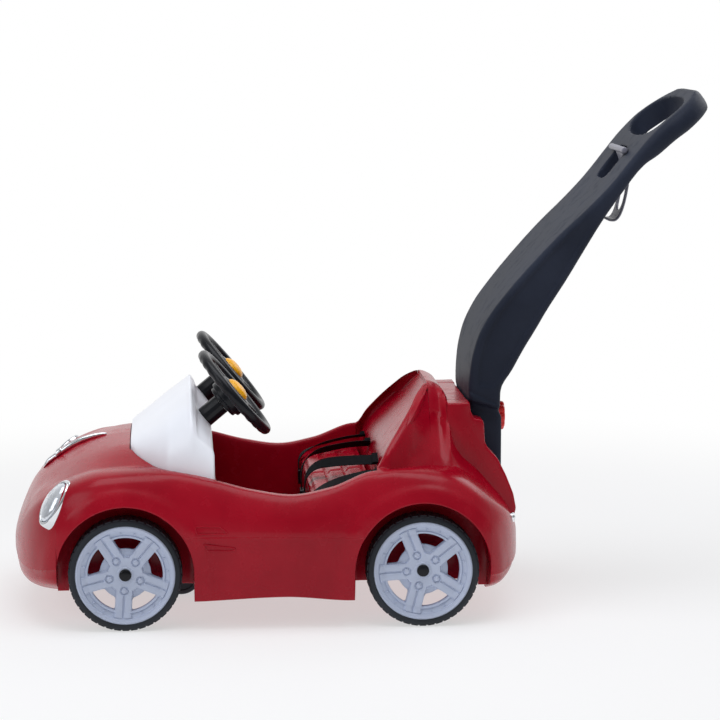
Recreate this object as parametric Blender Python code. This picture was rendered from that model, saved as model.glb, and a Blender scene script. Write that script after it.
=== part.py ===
"""A two-seat push car for toddlers, with a parent handle, built as separate moulded pieces.

Units are metres and +Z is up. The car faces -X, its left side is -Y, and every place below is
measured from the point under the middle of the front axle, which the CAR empty carries.
"""

import math

import bmesh
import bpy
import numpy as np
from mathutils import Euler, Vector

# Fits between pieces
SEAT_GAP = 0.0003  # between faces that rest on each other
RUN_GAP = 0.00025  # radial play of a turning piece on its shaft
PANEL_GAP = 0.002  # the open line between hood and windshield

# Wheels and axles
TYRE_RADIUS = 0.100
TYRE_WIDTH = 0.050
TYRE_THICKNESS = 0.0125
WHEELBASE = 0.522
AXLE_RADIUS = 0.005
HUB_RADIUS = 0.014
SPACER_RADIUS = 0.011
HUB_FACE = 0.034  # of the raised middle between the spokes
RIM_WALL = 0.007
SPOKES = 5
SPOKE_WIDTH = 0.029
SPOKE_GROOVE = 0.003
WINDOW_INNER = 0.045
WINDOW_OUTER = 0.0655
CAP_RADIUS = 0.0108
WHEEL_SIDES = 28  # a multiple of four, so that a corner touches the ground
ROUND_SIDES = 16  # of small round pieces

# Body shell
NOSE_LENGTH = 0.205  # ahead of the front axle
TAIL_LENGTH = 0.184  # behind the rear axle
BODY_HALF = 0.310
TRACK_HALF = BODY_HALF - 0.040  # from the centreline to the middle of a tyre
NOSE_TAPER = 0.190  # length over which the plan view rounds in
TAIL_TAPER = 0.150
BELT_STEP = 0.004  # depth of the moulded line along the doors
BELT_HEIGHT = 0.166
GROUND_GAP = 0.050  # under the door skirts
PAN_HEIGHT = 0.070  # underside between the skirts
SKIRT = 0.030  # thickness of a skirt
HOOD_HEIGHT = 0.325
FENDER_HEIGHT = 0.272
SILL_HEIGHT = 0.234  # lowest point of a door opening
WING_HEIGHT = 0.406  # top of the seat back
DECK_HEIGHT = 0.376  # flat top behind the seat back
ARCH_GAP = 0.020  # between tyre and wheel arch
WELL_WALL = BODY_HALF - 0.082  # inner wall of a wheel well
FLOOR_HEIGHT = 0.105
CABIN_HALF = BODY_HALF - 0.048
CABIN_CORNER = 0.030
CABIN_FRONT = 0.160
SEAT_FRONT = 0.332
SEAT_LEDGE = 0.2065
SEAT_BOTTOM = 0.190
SEAT_HALF = WELL_WALL - 0.006

# Windshield with its dashboard
SCREEN_FRONT = 0.006
SCREEN_REAR = 0.158
SCREEN_TOP = 0.407
SCREEN_SEAT = 0.255
SCREEN_WALL = 0.006

# Seat bench
PAD_COLUMNS = 2  # one pad a seat
PAD_ROWS = 3
PAD_HALF = CABIN_HALF - 0.055
PAD_RISE = 0.005
PAD_EDGE = 0.005  # width of a pad's sloping side

# Steering
STEER_X = 0.1965
STEER_Y = 0.140
STEER_Z = 0.3985
STEER_TILT = math.radians(50.2)
STEER_RADIUS = 0.085  # to the middle of the rim's tube
STEER_TUBE = 0.0105
HORN_RADIUS = 0.024
HORN_TRAVEL = 0.003
HUB_BOX_RADIUS = 0.036
HUB_BOX_DEPTH = 0.026
COLUMN_RADIUS = 0.0185
COLUMN_TOP = -0.032
COLUMN_END = -0.078
SHAFT_RADIUS = 0.006
CLIP_THICK = 0.003

# Handle
LEG_FRONT = 0.622
LEG_REAR = LEG_FRONT + 0.062
LEG_HALF = 0.100
TRUNK_HALF = LEG_HALF + 0.050
TRUNK_REAR = LEG_FRONT + 0.087
PIVOT_X = (LEG_FRONT + LEG_REAR) / 2
PIVOT_Z = 0.242
PIVOT_RADIUS = 0.005
CHANNEL_GAP = 0.0035
KNOB_Z = 0.329
KNOB_RADIUS = 0.027
KNOB_DEPTH = 0.0155
BOLT_RADIUS = 0.004
BOLT_TIP = LEG_FRONT - 0.018
LOOP_SLOPE = math.atan2(0.6, 0.8)  # the top part of the handle is straight
LOOP_HALF = 0.165
LOOP_BAR = 0.032
LOOP_THICK = 0.040
LOOP_END = 0.9004  # along the slope, from the ground under the leg's front face
LOOP_MID = 0.4772  # square to the slope
HOLE_START = 0.7644
SLOT_MIDDLE = 0.7074
HOOK_ALONG = 0.72376  # along the slope
HOOK_SQUARE = LOOP_MID + 0.00998  # square to the slope, on the loop's upper side
HOOK_X = LEG_FRONT + math.cos(LOOP_SLOPE) * HOOK_ALONG - math.sin(LOOP_SLOPE) * HOOK_SQUARE
HOOK_Z = math.sin(LOOP_SLOPE) * HOOK_ALONG + math.cos(LOOP_SLOPE) * HOOK_SQUARE
HOOK_HEAD = 0.0065
HOOK_HALF = 0.040
HOOK_HEAD_HALF = 0.072
SLOT_HALF = 0.046

# Caster
CASTER_X = 0.070
CASTER_TRAIL = 0.028
CASTER_RADIUS = 0.038
CASTER_WIDTH = 0.026
CASTER_ROOF = 0.0885
CASTER_STEM = 0.005
CASTER_PIN = 0.003
BUSH_RADIUS = 0.0115

# Lamps
LAMP_X = -0.128
LAMP_Y = BODY_HALF - 0.078
LAMP_Z = 0.226
LAMP_LONG = 0.046
LAMP_WIDE = 0.026
LAMP_SINK = 0.010
LAMP_LIP = 0.0075  # width of the bright ring round the lens
LAMP_PITCH = math.radians(-52)
LAMP_YAW = math.radians(33)
TAIL_LAMP = (0.6870, 0.171, 0.170)
TAIL_LAMP_RADIUS = 0.009
TAIL_LAMP_YAW = 0.5

# Lap belts
STRAP_HALF = 0.0125
STRAP_THICK = 0.0016
STRAP_INNER_Y = 0.060
STRAP_OUTER_Y = CABIN_HALF - 0.057

FRONT_AXLE_X = -0.42985  # puts the middle of the whole car over the origin

SIDES = {"left": -1, "right": 1}
AXLES = {"front": 0.0, "rear": WHEELBASE}


def clear_scene():
    for old in list(bpy.data.objects):
        bpy.data.objects.remove(old)


def material(name, colour, roughness, metallic=0.0):
    made = bpy.data.materials.new(name)
    made.use_nodes = True
    shader = made.node_tree.nodes["Principled BSDF"]
    shader.inputs["Base Color"].default_value = (*colour, 1)
    shader.inputs["Roughness"].default_value = roughness
    shader.inputs["Metallic"].default_value = metallic
    return made


clear_scene()
RED = material("red_polyethylene", (0.30, 0.002, 0.014), 0.28)
WHITE = material("white_polyethylene", (0.83, 0.85, 0.90), 0.30)
CHARCOAL = material("charcoal_polyethylene", (0.022, 0.028, 0.045), 0.42)
BLACK = material("black_plastic", (0.010, 0.011, 0.014), 0.35)
TYRE = material("tyre_plastic", (0.018, 0.022, 0.030), 0.60)
GREY = material("rim_grey", (0.42, 0.46, 0.60), 0.40)
CHROME = material("chrome_plate", (0.80, 0.82, 0.85), 0.08, 1.0)
LENS = material("clear_lens", (0.85, 0.88, 0.92), 0.10)
YELLOW = material("horn_yellow", (0.95, 0.45, 0.0), 0.30)
KNOB_RED = material("knob_red", (0.70, 0.010, 0.010), 0.35)
STEEL = material("axle_steel", (0.55, 0.55, 0.56), 0.30, 1.0)
HOOK_GREY = material("hook_grey", (0.19, 0.19, 0.23), 0.40)
WEB = material("black_webbing", (0.010, 0.010, 0.013), 0.80)

CAR = bpy.data.objects.new("car", None)
CAR.location = (FRONT_AXLE_X, 0, 0)
bpy.context.scene.collection.objects.link(CAR)


def add(name, bm, finish, place=(0, 0, 0), parent=None, guide=False, flat=25):
    """Turns a bmesh into an object, on the car or on another parent."""
    bmesh.ops.recalc_face_normals(bm, faces=bm.faces)
    mesh = bpy.data.meshes.new(name)
    bm.to_mesh(mesh)
    bm.free()
    return add_mesh(name, mesh, finish, place, parent, guide, flat)


def add_mesh(name, mesh, finish, place=(0, 0, 0), parent=None, guide=False, flat=25):
    obj = bpy.data.objects.new(name, mesh)
    bpy.context.scene.collection.objects.link(obj)
    obj.parent = parent or CAR
    obj.location = place
    if finish and not mesh.materials:
        mesh.materials.append(finish)
    mesh.shade_smooth()
    mesh.set_sharp_from_angle(angle=math.radians(flat))
    if guide:
        obj.hide_render = True
        obj.display_type = "WIRE"
    return obj


def guide(name, bm, place=(0, 0, 0), parent=None):
    return add(name, bm, None, place, parent, guide=True)


def cut(obj, tool, operation="DIFFERENCE"):
    mod = obj.modifiers.new(tool.name, "BOOLEAN")
    mod.operation = operation
    mod.solver = "EXACT"
    mod.object = tool


def settled_mesh(obj, name):
    """The mesh of an object with its modifiers applied, for pieces that share one shape."""
    bpy.context.view_layer.update()
    done = obj.evaluated_get(bpy.context.evaluated_depsgraph_get())
    mesh = bpy.data.meshes.new_from_object(done)
    mesh.name = name
    bpy.data.objects.remove(obj)
    return mesh


def curve(*points):
    """A smooth line through (place, value) points that never swings past them."""
    at = np.array([p[0] for p in points], float)
    value = np.array([p[1] for p in points], float)
    step = np.diff(at)
    slope = np.diff(value) / step
    lean = np.zeros(len(at))
    same = slope[1:] * slope[:-1] > 0
    lean[1:-1][same] = (2 * slope[1:] * slope[:-1])[same] / (slope[1:] + slope[:-1])[same]
    lean[0], lean[-1] = slope[0], slope[-1]

    def read(x):
        x = min(max(x, at[0]), at[-1])
        i = min(int(np.searchsorted(at, x, side="right")) - 1, len(step) - 1)
        t = (x - at[i]) / step[i]
        a = (1 + 2 * t) * (1 - t) ** 2 * value[i] + t * t * (3 - 2 * t) * value[i + 1]
        b = t * (1 - t) ** 2 * step[i] * lean[i] - t * t * (1 - t) * step[i] * lean[i + 1]
        return float(a + b)

    return read


def rounded(points, times):
    """Cuts the corners of an open line of points; doubled points stay sharper."""
    for _ in range(times):
        trimmed = [points[0]]
        for a, b in zip(points, points[1:]):
            if a != b:
                trimmed.append(tuple(0.75 * p + 0.25 * q for p, q in zip(a, b)))
                trimmed.append(tuple(0.25 * p + 0.75 * q for p, q in zip(a, b)))
        trimmed.append(points[-1])
        points = trimmed
    return points


def loft(rings):
    """Skins closed rings of equal length and caps both ends."""
    bm = bmesh.new()
    rows = [[bm.verts.new(p) for p in ring] for ring in rings]
    count = len(rows[0])
    for low, high in zip(rows, rows[1:]):
        for i in range(count):
            j = (i + 1) % count
            bm.faces.new((low[i], low[j], high[j], high[i]))
    bm.faces.new(rows[0])
    bm.faces.new(rows[-1])
    return bm


def prism(outline, low, high, plane="XZ"):
    """Extrudes a flat outline along the axis that its plane leaves out."""
    spots = {
        "XZ": lambda a, b, c: (a, c, b),
        "XY": lambda a, b, c: (a, b, c),
        "YZ": lambda a, b, c: (c, a, b),
    }[plane]
    return loft([[spots(a, b, c) for a, b in outline] for c in (low, high)])


def box(x0, x1, y0, y1, z0, z1):
    return prism([(x0, z0), (x1, z0), (x1, z1), (x0, z1)], y0, y1)


def turned(profile, sides, closed=False):
    """Turns (radius, height) points about Z; a radius of 0 lies on the axis."""
    bm = bmesh.new()
    columns = []
    poles = {i: bm.verts.new((0, 0, z)) for i, (r, z) in enumerate(profile) if r == 0}
    for k in range(sides):
        a = 2 * math.pi * k / sides
        columns.append(
            [
                poles.get(i) or bm.verts.new((r * math.cos(a), r * math.sin(a), z))
                for i, (r, z) in enumerate(profile)
            ]
        )
    pairs = [(i, i + 1) for i in range(len(profile) - 1)]
    if closed:
        pairs.append((len(profile) - 1, 0))
    for k in range(sides):
        here, there = columns[k], columns[(k + 1) % sides]
        for i, j in pairs:
            corners = []
            for v in (here[i], here[j], there[j], there[i]):
                if v not in corners:
                    corners.append(v)
            if len(corners) > 2:
                bm.faces.new(corners)
    return bm


def rod(radius, low, high, sides=ROUND_SIDES, chamfer=0.0):
    """A solid round bar along Z."""
    profile = [(0, low), (radius - chamfer, low), (radius, low + chamfer)]
    profile += [(radius, high - chamfer), (radius - chamfer, high), (0, high)]
    if not chamfer:
        profile = [(0, low), (radius, low), (radius, high), (0, high)]
    return turned(profile, sides)


def sleeve(inner, outer, low, high, sides=ROUND_SIDES):
    return turned([(inner, low), (outer, low), (outer, high), (inner, high)], sides, closed=True)


def joined(parts):
    """Puts several bmeshes side by side in one."""
    whole = bmesh.new()
    for part in parts:
        mesh = bpy.data.meshes.new("part")
        part.to_mesh(mesh)
        part.free()
        whole.from_mesh(mesh)
        bpy.data.meshes.remove(mesh)
    return whole


def moved(bm, turn=(0, 0, 0), shift=(0, 0, 0)):
    bm.transform(Euler(turn).to_matrix().to_4x4())
    bmesh.ops.translate(bm, verts=bm.verts, vec=shift)
    return bm


def around(make, count, start=0.0):
    """Copies of one shape, evenly round Z."""
    return joined(
        [moved(make(), (0, 0, start + 2 * math.pi * k / count)) for k in range(count)]
    )


ALONG_Y = (math.pi / 2, 0, 0)

# The body's lines, as heights and half-widths along the car
TAIL_X = WHEELBASE + TAIL_LENGTH
NOSE_X = -NOSE_LENGTH
NOSE_Z = 0.117

bottom_line = curve(
    (NOSE_X, 0.113),
    (NOSE_X + 0.004, 0.090),
    (NOSE_X + 0.015, 0.065),
    (NOSE_X + 0.035, 0.047),
    (NOSE_X + 0.060, 0.041),
    (0.10, GROUND_GAP),
    (0.28, GROUND_GAP + 0.006),
    (0.40, GROUND_GAP - 0.002),
    (TAIL_X - 0.060, GROUND_GAP),
    (TAIL_X - 0.028, GROUND_GAP + 0.014),
    (TAIL_X - 0.009, 0.082),
    (TAIL_X - 0.002, 0.105),
    (TAIL_X, 0.115),
)
belt_line = curve(
    (NOSE_X, NOSE_Z),
    (NOSE_X + 0.02, NOSE_Z + 0.004),
    (-0.12, BELT_HEIGHT - 0.016),
    (0.11, BELT_HEIGHT + 0.003),
    (0.42, BELT_HEIGHT - 0.002),
    (0.60, BELT_HEIGHT - 0.016),
    (TAIL_X - 0.015, 0.128),
    (TAIL_X, 0.118),
)
shoulder_line = curve(
    (NOSE_X, NOSE_Z + 0.003),
    (NOSE_X + 0.005, 0.136),
    (NOSE_X + 0.015, 0.160),
    (NOSE_X + 0.035, 0.195),
    (NOSE_X + 0.060, 0.222),
    (-0.10, FENDER_HEIGHT - 0.024),
    (-0.03, FENDER_HEIGHT - 0.006),
    (0.05, FENDER_HEIGHT),
    (0.11, FENDER_HEIGHT - 0.002),
    (0.155, FENDER_HEIGHT - 0.011),
    (0.224, SILL_HEIGHT + 0.0095),
    (0.293, SILL_HEIGHT),
    (0.359, SILL_HEIGHT + 0.011),
    (0.43, FENDER_HEIGHT - 0.004),
    (0.50, FENDER_HEIGHT),
    (0.55, FENDER_HEIGHT - 0.004),
    (0.60, FENDER_HEIGHT - 0.024),
    (0.645, 0.217),
    (TAIL_X - 0.033, 0.185),
    (TAIL_X - 0.014, 0.155),
    (TAIL_X - 0.004, 0.132),
    (TAIL_X, 0.120),
)
crease_line = curve(
    (NOSE_X, NOSE_Z + 0.004),
    (NOSE_X + 0.005, 0.140),
    (NOSE_X + 0.015, 0.168),
    (NOSE_X + 0.035, 0.212),
    (NOSE_X + 0.055, 0.240),
    (-0.10, FENDER_HEIGHT - 0.010),
    (-0.044, FENDER_HEIGHT + 0.007),
    (0.036, FENDER_HEIGHT + 0.011),
    (0.155, FENDER_HEIGHT - 0.008),
    (0.224, SILL_HEIGHT + 0.012),
    (0.293, SILL_HEIGHT + 0.002),
    (0.359, SILL_HEIGHT + 0.014),
    (0.443, FENDER_HEIGHT + 0.006),
    (0.52, FENDER_HEIGHT + 0.006),
    (0.58, FENDER_HEIGHT),
    (0.62, FENDER_HEIGHT - 0.022),
    (0.66, 0.212),
    (TAIL_X - 0.024, 0.176),
    (TAIL_X - 0.008, 0.148),
    (TAIL_X, 0.121),
)
edge_line = curve(
    (NOSE_X, NOSE_Z + 0.005),
    (NOSE_X + 0.004, 0.143),
    (NOSE_X + 0.014, 0.172),
    (NOSE_X + 0.035, 0.222),
    (NOSE_X + 0.055, 0.252),
    (-0.11, HOOD_HEIGHT - 0.042),
    (-0.067, HOOD_HEIGHT - 0.023),
    (-0.011, HOOD_HEIGHT - 0.010),
    (0.05, HOOD_HEIGHT - 0.008),
    (0.155, FENDER_HEIGHT - 0.004),
    (0.224, SILL_HEIGHT + 0.013),
    (0.293, SILL_HEIGHT + 0.003),
    (0.359, SILL_HEIGHT + 0.015),
    (0.443, 0.281),
    (0.46, 0.310),
    (0.484, 0.342),
    (0.51, 0.373),
    (0.53, WING_HEIGHT - 0.011),
    (0.548, WING_HEIGHT),
    (0.568, WING_HEIGHT - 0.007),
    (0.583, DECK_HEIGHT + 0.002),
    (0.587, 0.343),
    (0.593, 0.317),
    (0.606, 0.291),
    (0.630, 0.267),
    (0.660, 0.231),
    (TAIL_X - 0.023, 0.184),
    (TAIL_X - 0.008, 0.151),
    (TAIL_X, 0.122),
)
crown_line = curve(
    (NOSE_X, NOSE_Z + 0.006),
    (NOSE_X + 0.004, 0.145),
    (NOSE_X + 0.014, 0.175),
    (NOSE_X + 0.035, 0.228),
    (NOSE_X + 0.055, 0.259),
    (-0.11, HOOD_HEIGHT - 0.034),
    (-0.067, HOOD_HEIGHT - 0.014),
    (-0.011, HOOD_HEIGHT - 0.002),
    (0.05, HOOD_HEIGHT),
    (0.155, FENDER_HEIGHT),
    (0.293, SILL_HEIGHT + 0.004),
    (0.443, 0.282),
    (0.484, 0.343),
    (0.51, 0.374),
    (0.53, WING_HEIGHT - 0.011),
    (0.548, WING_HEIGHT),
    (0.568, WING_HEIGHT - 0.007),
    (0.583, DECK_HEIGHT + 0.002),
    (0.587, 0.344),
    (0.593, 0.318),
    (0.606, 0.292),
    (0.630, 0.268),
    (0.660, 0.232),
    (TAIL_X - 0.023, 0.185),
    (TAIL_X - 0.008, 0.152),
    (TAIL_X, 0.123),
)
crease_half = curve(
    (NOSE_X + NOSE_TAPER / 2, CABIN_HALF - 0.057),
    (-0.04, CABIN_HALF - 0.046),
    (0.036, CABIN_HALF - 0.045),
    (0.08, CABIN_HALF - 0.022),
    (0.16, CABIN_HALF - 0.006),
    (0.443, CABIN_HALF),
    (0.50, CABIN_HALF - 0.030),
    (0.56, CABIN_HALF - 0.057),
    (0.62, CABIN_HALF - 0.072),
    (TAIL_X, CABIN_HALF - 0.082),
)
edge_half = curve(
    (NOSE_X + NOSE_TAPER / 2, CABIN_HALF - 0.122),
    (0.036, CABIN_HALF - 0.117),
    (0.16, CABIN_HALF - 0.032),
    (0.443, CABIN_HALF - 0.003),
    (0.46, CABIN_HALF - 0.013),
    (0.484, CABIN_HALF - 0.036),
    (0.51, CABIN_HALF - 0.072),
    (0.53, CABIN_HALF - 0.102),
    (0.548, CABIN_HALF - 0.122),
    (0.575, CABIN_HALF - 0.130),
    (TAIL_X, CABIN_HALF - 0.132),
)


def half_width(x):
    """Half the body's width: straight sides, with a rounded nose and tail."""
    nose = (NOSE_X + NOSE_TAPER - x) / NOSE_TAPER
    tail = (x - TAIL_X + TAIL_TAPER) / TAIL_TAPER
    round_in = max(nose, tail, 0.0)
    return BODY_HALF * math.sqrt(max(1 - round_in**3, 0.0))


def body_half_section(x):
    """From the edge of the flat bottom, round the side, to the middle of the top."""
    w = half_width(x)
    low, belt, top = bottom_line(x), belt_line(x), shoulder_line(x)
    fade = min(max((x - 0.06) / 0.06, 0), max((0.46 - x) / 0.05, 0), 1)
    step = BELT_STEP * fade
    share = w / BODY_HALF
    crease = min(crease_half(x), 0.82 * w)
    edge = min(edge_half(x), 0.97 * crease, 0.6 * w if x < 0 or x > 0.6 else 1)
    return [
        (0.86 * w, low),
        (0.965 * w, low + 0.010 * share),
        (w - step, belt - 0.003 * share),
        (w - step, belt - 0.003 * share),
        (w, belt + 0.001 * share),
        (w, belt + 0.001 * share),
        (0.985 * w, 0.5 * (belt + top)),
        (0.925 * w, top),
        (crease, crease_line(x)),
        (crease, crease_line(x)),
        (edge, edge_line(x)),
        (0.55 * edge, 0.4 * edge_line(x) + 0.6 * crown_line(x)),
        (0.0, crown_line(x)),
    ]


def ring_of(half, x):
    """A closed ring at x from a half section given as (y, z)."""
    there = [(x, y, z) for y, z in half]
    back = [(x, -y, z) for y, z in reversed(half[1:-1])]
    return there + back


def body_stations():
    nose = [NOSE_X + NOSE_TAPER * (1 - math.cos(a)) for a in np.linspace(0.10, 1.15, 7)]
    middle = list(np.linspace(nose[-1], 0.44, 11)[1:])
    wing = [0.462, 0.486, 0.51, 0.53, 0.548, 0.568, 0.583, 0.588, 0.595, 0.61, 0.635]
    tail = [TAIL_X - TAIL_TAPER * (1 - math.cos(a)) for a in np.linspace(0.90, 0.10, 6)]
    return nose + middle + wing + [x for x in tail if x > wing[-1]]


def body_ring(x):
    side = rounded(body_half_section(x), 1)
    return ring_of([(0.0, side[0][1])] + side, x)


def body_loft():
    return loft([body_ring(x) for x in body_stations()])


def arch_cutter(x, side):
    """The space of one wheel well: a half-round arch with straight sides."""
    radius = TYRE_RADIUS + ARCH_GAP
    turns = np.linspace(0, math.pi, 17)
    outline = [
        (x + radius * math.cos(a), TYRE_RADIUS + 0.002 + radius * math.sin(a)) for a in turns
    ]
    outline += [(x - radius, -0.05), (x + radius, -0.05)]
    low, high = sorted((side * WELL_WALL, side * (BODY_HALF + 0.03)))
    return prism(outline, low, high)


seat_back = curve(
    (SEAT_BOTTOM, 0.443),
    (0.24, 0.448),
    (0.28, 0.462),
    (0.32, 0.488),
    (0.36, 0.516),
    (0.40, 0.545),
    (0.46, 0.590),
)
wing_inside = curve(
    (0.2065, CABIN_HALF),
    (0.255, CABIN_HALF),
    (0.281, CABIN_HALF - 0.015),
    (0.31, CABIN_HALF - 0.033),
    (0.342, CABIN_HALF - 0.058),
    (0.373, CABIN_HALF - 0.092),
    (0.395, CABIN_HALF - 0.123),
    (0.412, CABIN_HALF - 0.144),
    (0.46, CABIN_HALF - 0.150),
)


def rounded_box_ring(x0, x1, half, z, radius, steps=3):
    """A level ring: a rectangle with rounded rear and front corners."""
    radius = min(radius, half * 0.9, (x1 - x0) * 0.45)
    ring = []
    for cx, cy, start in (
        (x1 - radius, half - radius, 0),
        (x0 + radius, half - radius, 90),
        (x0 + radius, radius - half, 180),
        (x1 - radius, radius - half, 270),
    ):
        for k in range(steps + 1):
            a = math.radians(start + 90 * k / steps)
            ring.append((cx + radius * math.cos(a), cy + radius * math.sin(a), z))
    return ring


def cabin_cutter():
    """The room above the seat, up to the seat back between the wings."""
    levels = [SEAT_LEDGE, 0.255, 0.281, 0.31, 0.342, 0.373, 0.395, 0.412, 0.46]
    x0 = SEAT_FRONT - 0.14
    return loft(
        [rounded_box_ring(x0, seat_back(z), wing_inside(z), z, CABIN_CORNER, 2) for z in levels]
    )


def seat_pan_cutter():
    """The lower step of the seat's bed, between the rear wheel wells."""
    rear = seat_back(SEAT_BOTTOM)
    return box(SEAT_FRONT - 0.05, rear, -SEAT_HALF, SEAT_HALF, SEAT_BOTTOM, SEAT_LEDGE + 0.01)


def footwell_cutter():
    levels = [FLOOR_HEIGHT, FLOOR_HEIGHT + 0.012, 0.46]
    grow = [-0.010, 0.0, 0.0]
    return loft(
        [
            rounded_box_ring(CABIN_FRONT, SEAT_FRONT + g, CABIN_HALF + g, z, 0.022)
            for z, g in zip(levels, grow)
        ]
    )


def leg_tunnel_cutter():
    """Room for the feet under the dashboard, over the front axle."""
    half = CABIN_HALF - 0.107
    return box(0.045, CABIN_FRONT + 0.02, -half, half, TYRE_RADIUS + 0.025, SCREEN_SEAT - 0.010)


screen_foot_half = curve(
    (SCREEN_FRONT, CABIN_HALF - 0.112),
    (0.012, CABIN_HALF - 0.084),
    (0.020, CABIN_HALF - 0.065),
    (0.036, CABIN_HALF - 0.043),
    (0.055, CABIN_HALF - 0.024),
    (0.080, CABIN_HALF - 0.013),
    (SCREEN_REAR, CABIN_HALF - 0.0005),
)
screen_foot_z = curve(
    (SCREEN_FRONT, 0.314),
    (0.020, 0.296),
    (0.036, 0.284),
    (0.055, 0.277),
    (0.080, 0.274),
    (0.155, 0.2625),
    (0.165, 0.262),
)
screen_crown = curve(
    (SCREEN_FRONT, 0.326),
    (0.014, 0.331),
    (0.031, 0.344),
    (0.063, 0.371),
    (0.095, 0.397),
    (0.110, SCREEN_TOP - 0.001),
    (0.117, SCREEN_TOP),
    (0.124, SCREEN_TOP - 0.010),
    (0.145, 0.370),
    (SCREEN_REAR, 0.350),
)
SCREEN_STATIONS = [SCREEN_FRONT, 0.012, 0.021, 0.036, 0.060, 0.088, 0.108, 0.117, 0.126]
SCREEN_STATIONS += [0.142, SCREEN_REAR]


def screen_half_section(x, inset=0.0, foot=SCREEN_SEAT + SEAT_GAP):
    y = screen_foot_half(x) - inset
    low = screen_foot_z(x)
    top = screen_crown(x) - inset
    rise = top - low
    return [
        (y, foot),
        (y, low),
        (0.955 * y, low + 0.48 * rise),
        (0.80 * y, low + 0.84 * rise),
        (0.50 * y, low + 0.97 * rise),
        (0.0, top),
    ]


def screen_ring(half, x):
    return ring_of([(0.0, half[0][1])] + half, x)


def screen_loft():
    return loft([screen_ring(rounded(screen_half_section(x), 1), x) for x in SCREEN_STATIONS])


def screen_hollow():
    """The room inside the moulding, open downwards."""
    foot = SCREEN_SEAT - 0.05
    first = SCREEN_FRONT + 3 * SCREEN_WALL
    last = SCREEN_REAR - SCREEN_WALL
    stations = [first] + [x for x in SCREEN_STATIONS[::2] if first < x < last] + [last]
    return loft([screen_ring(screen_half_section(x, SCREEN_WALL, foot), x) for x in stations])


def screen_bed_cutter():
    """The footprint of the windshield, sunk into the body."""
    edge = [(x, screen_foot_half(x) + PANEL_GAP * 0.5) for x in SCREEN_STATIONS]
    edge[0] = (SCREEN_FRONT - PANEL_GAP, edge[0][1])
    edge.append((CABIN_FRONT + 0.005, CABIN_HALF - 0.004))
    outline = edge + [(x, -y) for x, y in reversed(edge)]
    return prism(outline, SCREEN_SEAT, 0.46, plane="XY")


def trunk_block():
    """The thick middle of the tail that holds the handle."""
    outline = [
        (LEG_FRONT - 0.062, 0.160),
        (LEG_FRONT - 0.062, DECK_HEIGHT),
        (LEG_FRONT - 0.002, DECK_HEIGHT),
        (LEG_FRONT, 0.355),
        (LEG_FRONT + 0.007, 0.347),
        (LEG_FRONT + 0.021, 0.344),
        (LEG_FRONT + 0.025, 0.337),
        (LEG_FRONT + 0.027, 0.302),
        (LEG_FRONT + 0.033, 0.292),
        (LEG_FRONT + 0.051, 0.273),
        (LEG_FRONT + 0.067, 0.242),
        (LEG_FRONT + 0.081, 0.208),
        (TRUNK_REAR, 0.182),
        (TRUNK_REAR - 0.002, 0.160),
    ]
    rings = []
    for y, shrink in ((-TRUNK_HALF, 0.008), (-TRUNK_HALF + 0.012, 0), (TRUNK_HALF - 0.012, 0)):
        rings.append(
            [(min(x, TRUNK_REAR - shrink) - shrink * 0.5, y, z - shrink) for x, z in outline]
        )
    rings.append([(x, TRUNK_HALF, z) for x, _, z in rings[0]])
    return loft(rings)


def channel_cutter():
    """The slot in the tail that the handle's leg stands in, open to the rear."""
    half = LEG_HALF + CHANNEL_GAP
    front = LEG_FRONT - CHANNEL_GAP
    low = PIVOT_Z - (PIVOT_X - LEG_FRONT) - CHANNEL_GAP
    return box(front, TRUNK_REAR + 0.05, -half, half, low, 0.46)


def build_body():
    body = add("body_shell", body_loft(), RED, flat=35)
    cut(body, guide("trunk_block", trunk_block()), "UNION")
    wells = [arch_cutter(x, s) for x in AXLES.values() for s in SIDES.values()]
    cut(body, guide("wells", joined(wells)))
    pan_half = BODY_HALF - SKIRT
    under = box(-0.100, WHEELBASE + 0.105, -pan_half, pan_half, -0.05, PAN_HEIGHT)
    cut(body, guide("underside", under))
    for name, tool in (
        ("screen_bed", screen_bed_cutter()),
        ("footwell", footwell_cutter()),
        ("cabin", cabin_cutter()),
        ("seat_pan", seat_pan_cutter()),
        ("leg_tunnel", leg_tunnel_cutter()),
        ("channel", channel_cutter()),
    ):
        cut(body, guide(name, tool))
    bores = []
    for x in AXLES.values():
        bore = rod(AXLE_RADIUS + SEAT_GAP, -BODY_HALF, BODY_HALF)
        bores.append(moved(bore, ALONG_Y, (x, 0, TYRE_RADIUS)))
    pivot = rod(PIVOT_RADIUS + SEAT_GAP, -TRUNK_HALF - 0.05, TRUNK_HALF + 0.05)
    bores.append(moved(pivot, ALONG_Y, (PIVOT_X, 0, PIVOT_Z)))
    cut(body, guide("bores", joined(bores)))
    cut(body, guide("bolt_hole", bolt_hole_cutter()))
    cut(body, guide("caster_pocket", caster_pocket_cutter()))
    cut(body, guide("lamp_seats", lamp_seat_cutters()))
    return body


def bolt_hole_cutter():
    """Oblong, because the bolt's tip rises as it swings out with the handle."""
    r = BOLT_RADIUS + 0.0006
    rise = 0.008
    outline = []
    for start, z in ((0, KNOB_Z + rise), (math.pi, KNOB_Z)):
        for a in np.linspace(start, start + math.pi, 8):
            outline.append((r * math.cos(a), z + r * math.sin(a)))
    return prism(outline, BOLT_TIP - 0.003, LEG_FRONT, plane="YZ")


def caster_pocket_cutter():
    """A round pocket for the swinging caster, with a bore for its stem."""
    reach = CASTER_TRAIL + CASTER_RADIUS + 0.005
    profile = [
        (0, 0.03),
        (reach, 0.03),
        (reach, CASTER_ROOF),
        (BUSH_RADIUS + SEAT_GAP, CASTER_ROOF),
        (BUSH_RADIUS + SEAT_GAP, CASTER_ROOF + 0.030),
        (0, CASTER_ROOF + 0.030),
    ]
    return moved(turned(profile, 24), shift=(CASTER_X, 0, 0))


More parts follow.
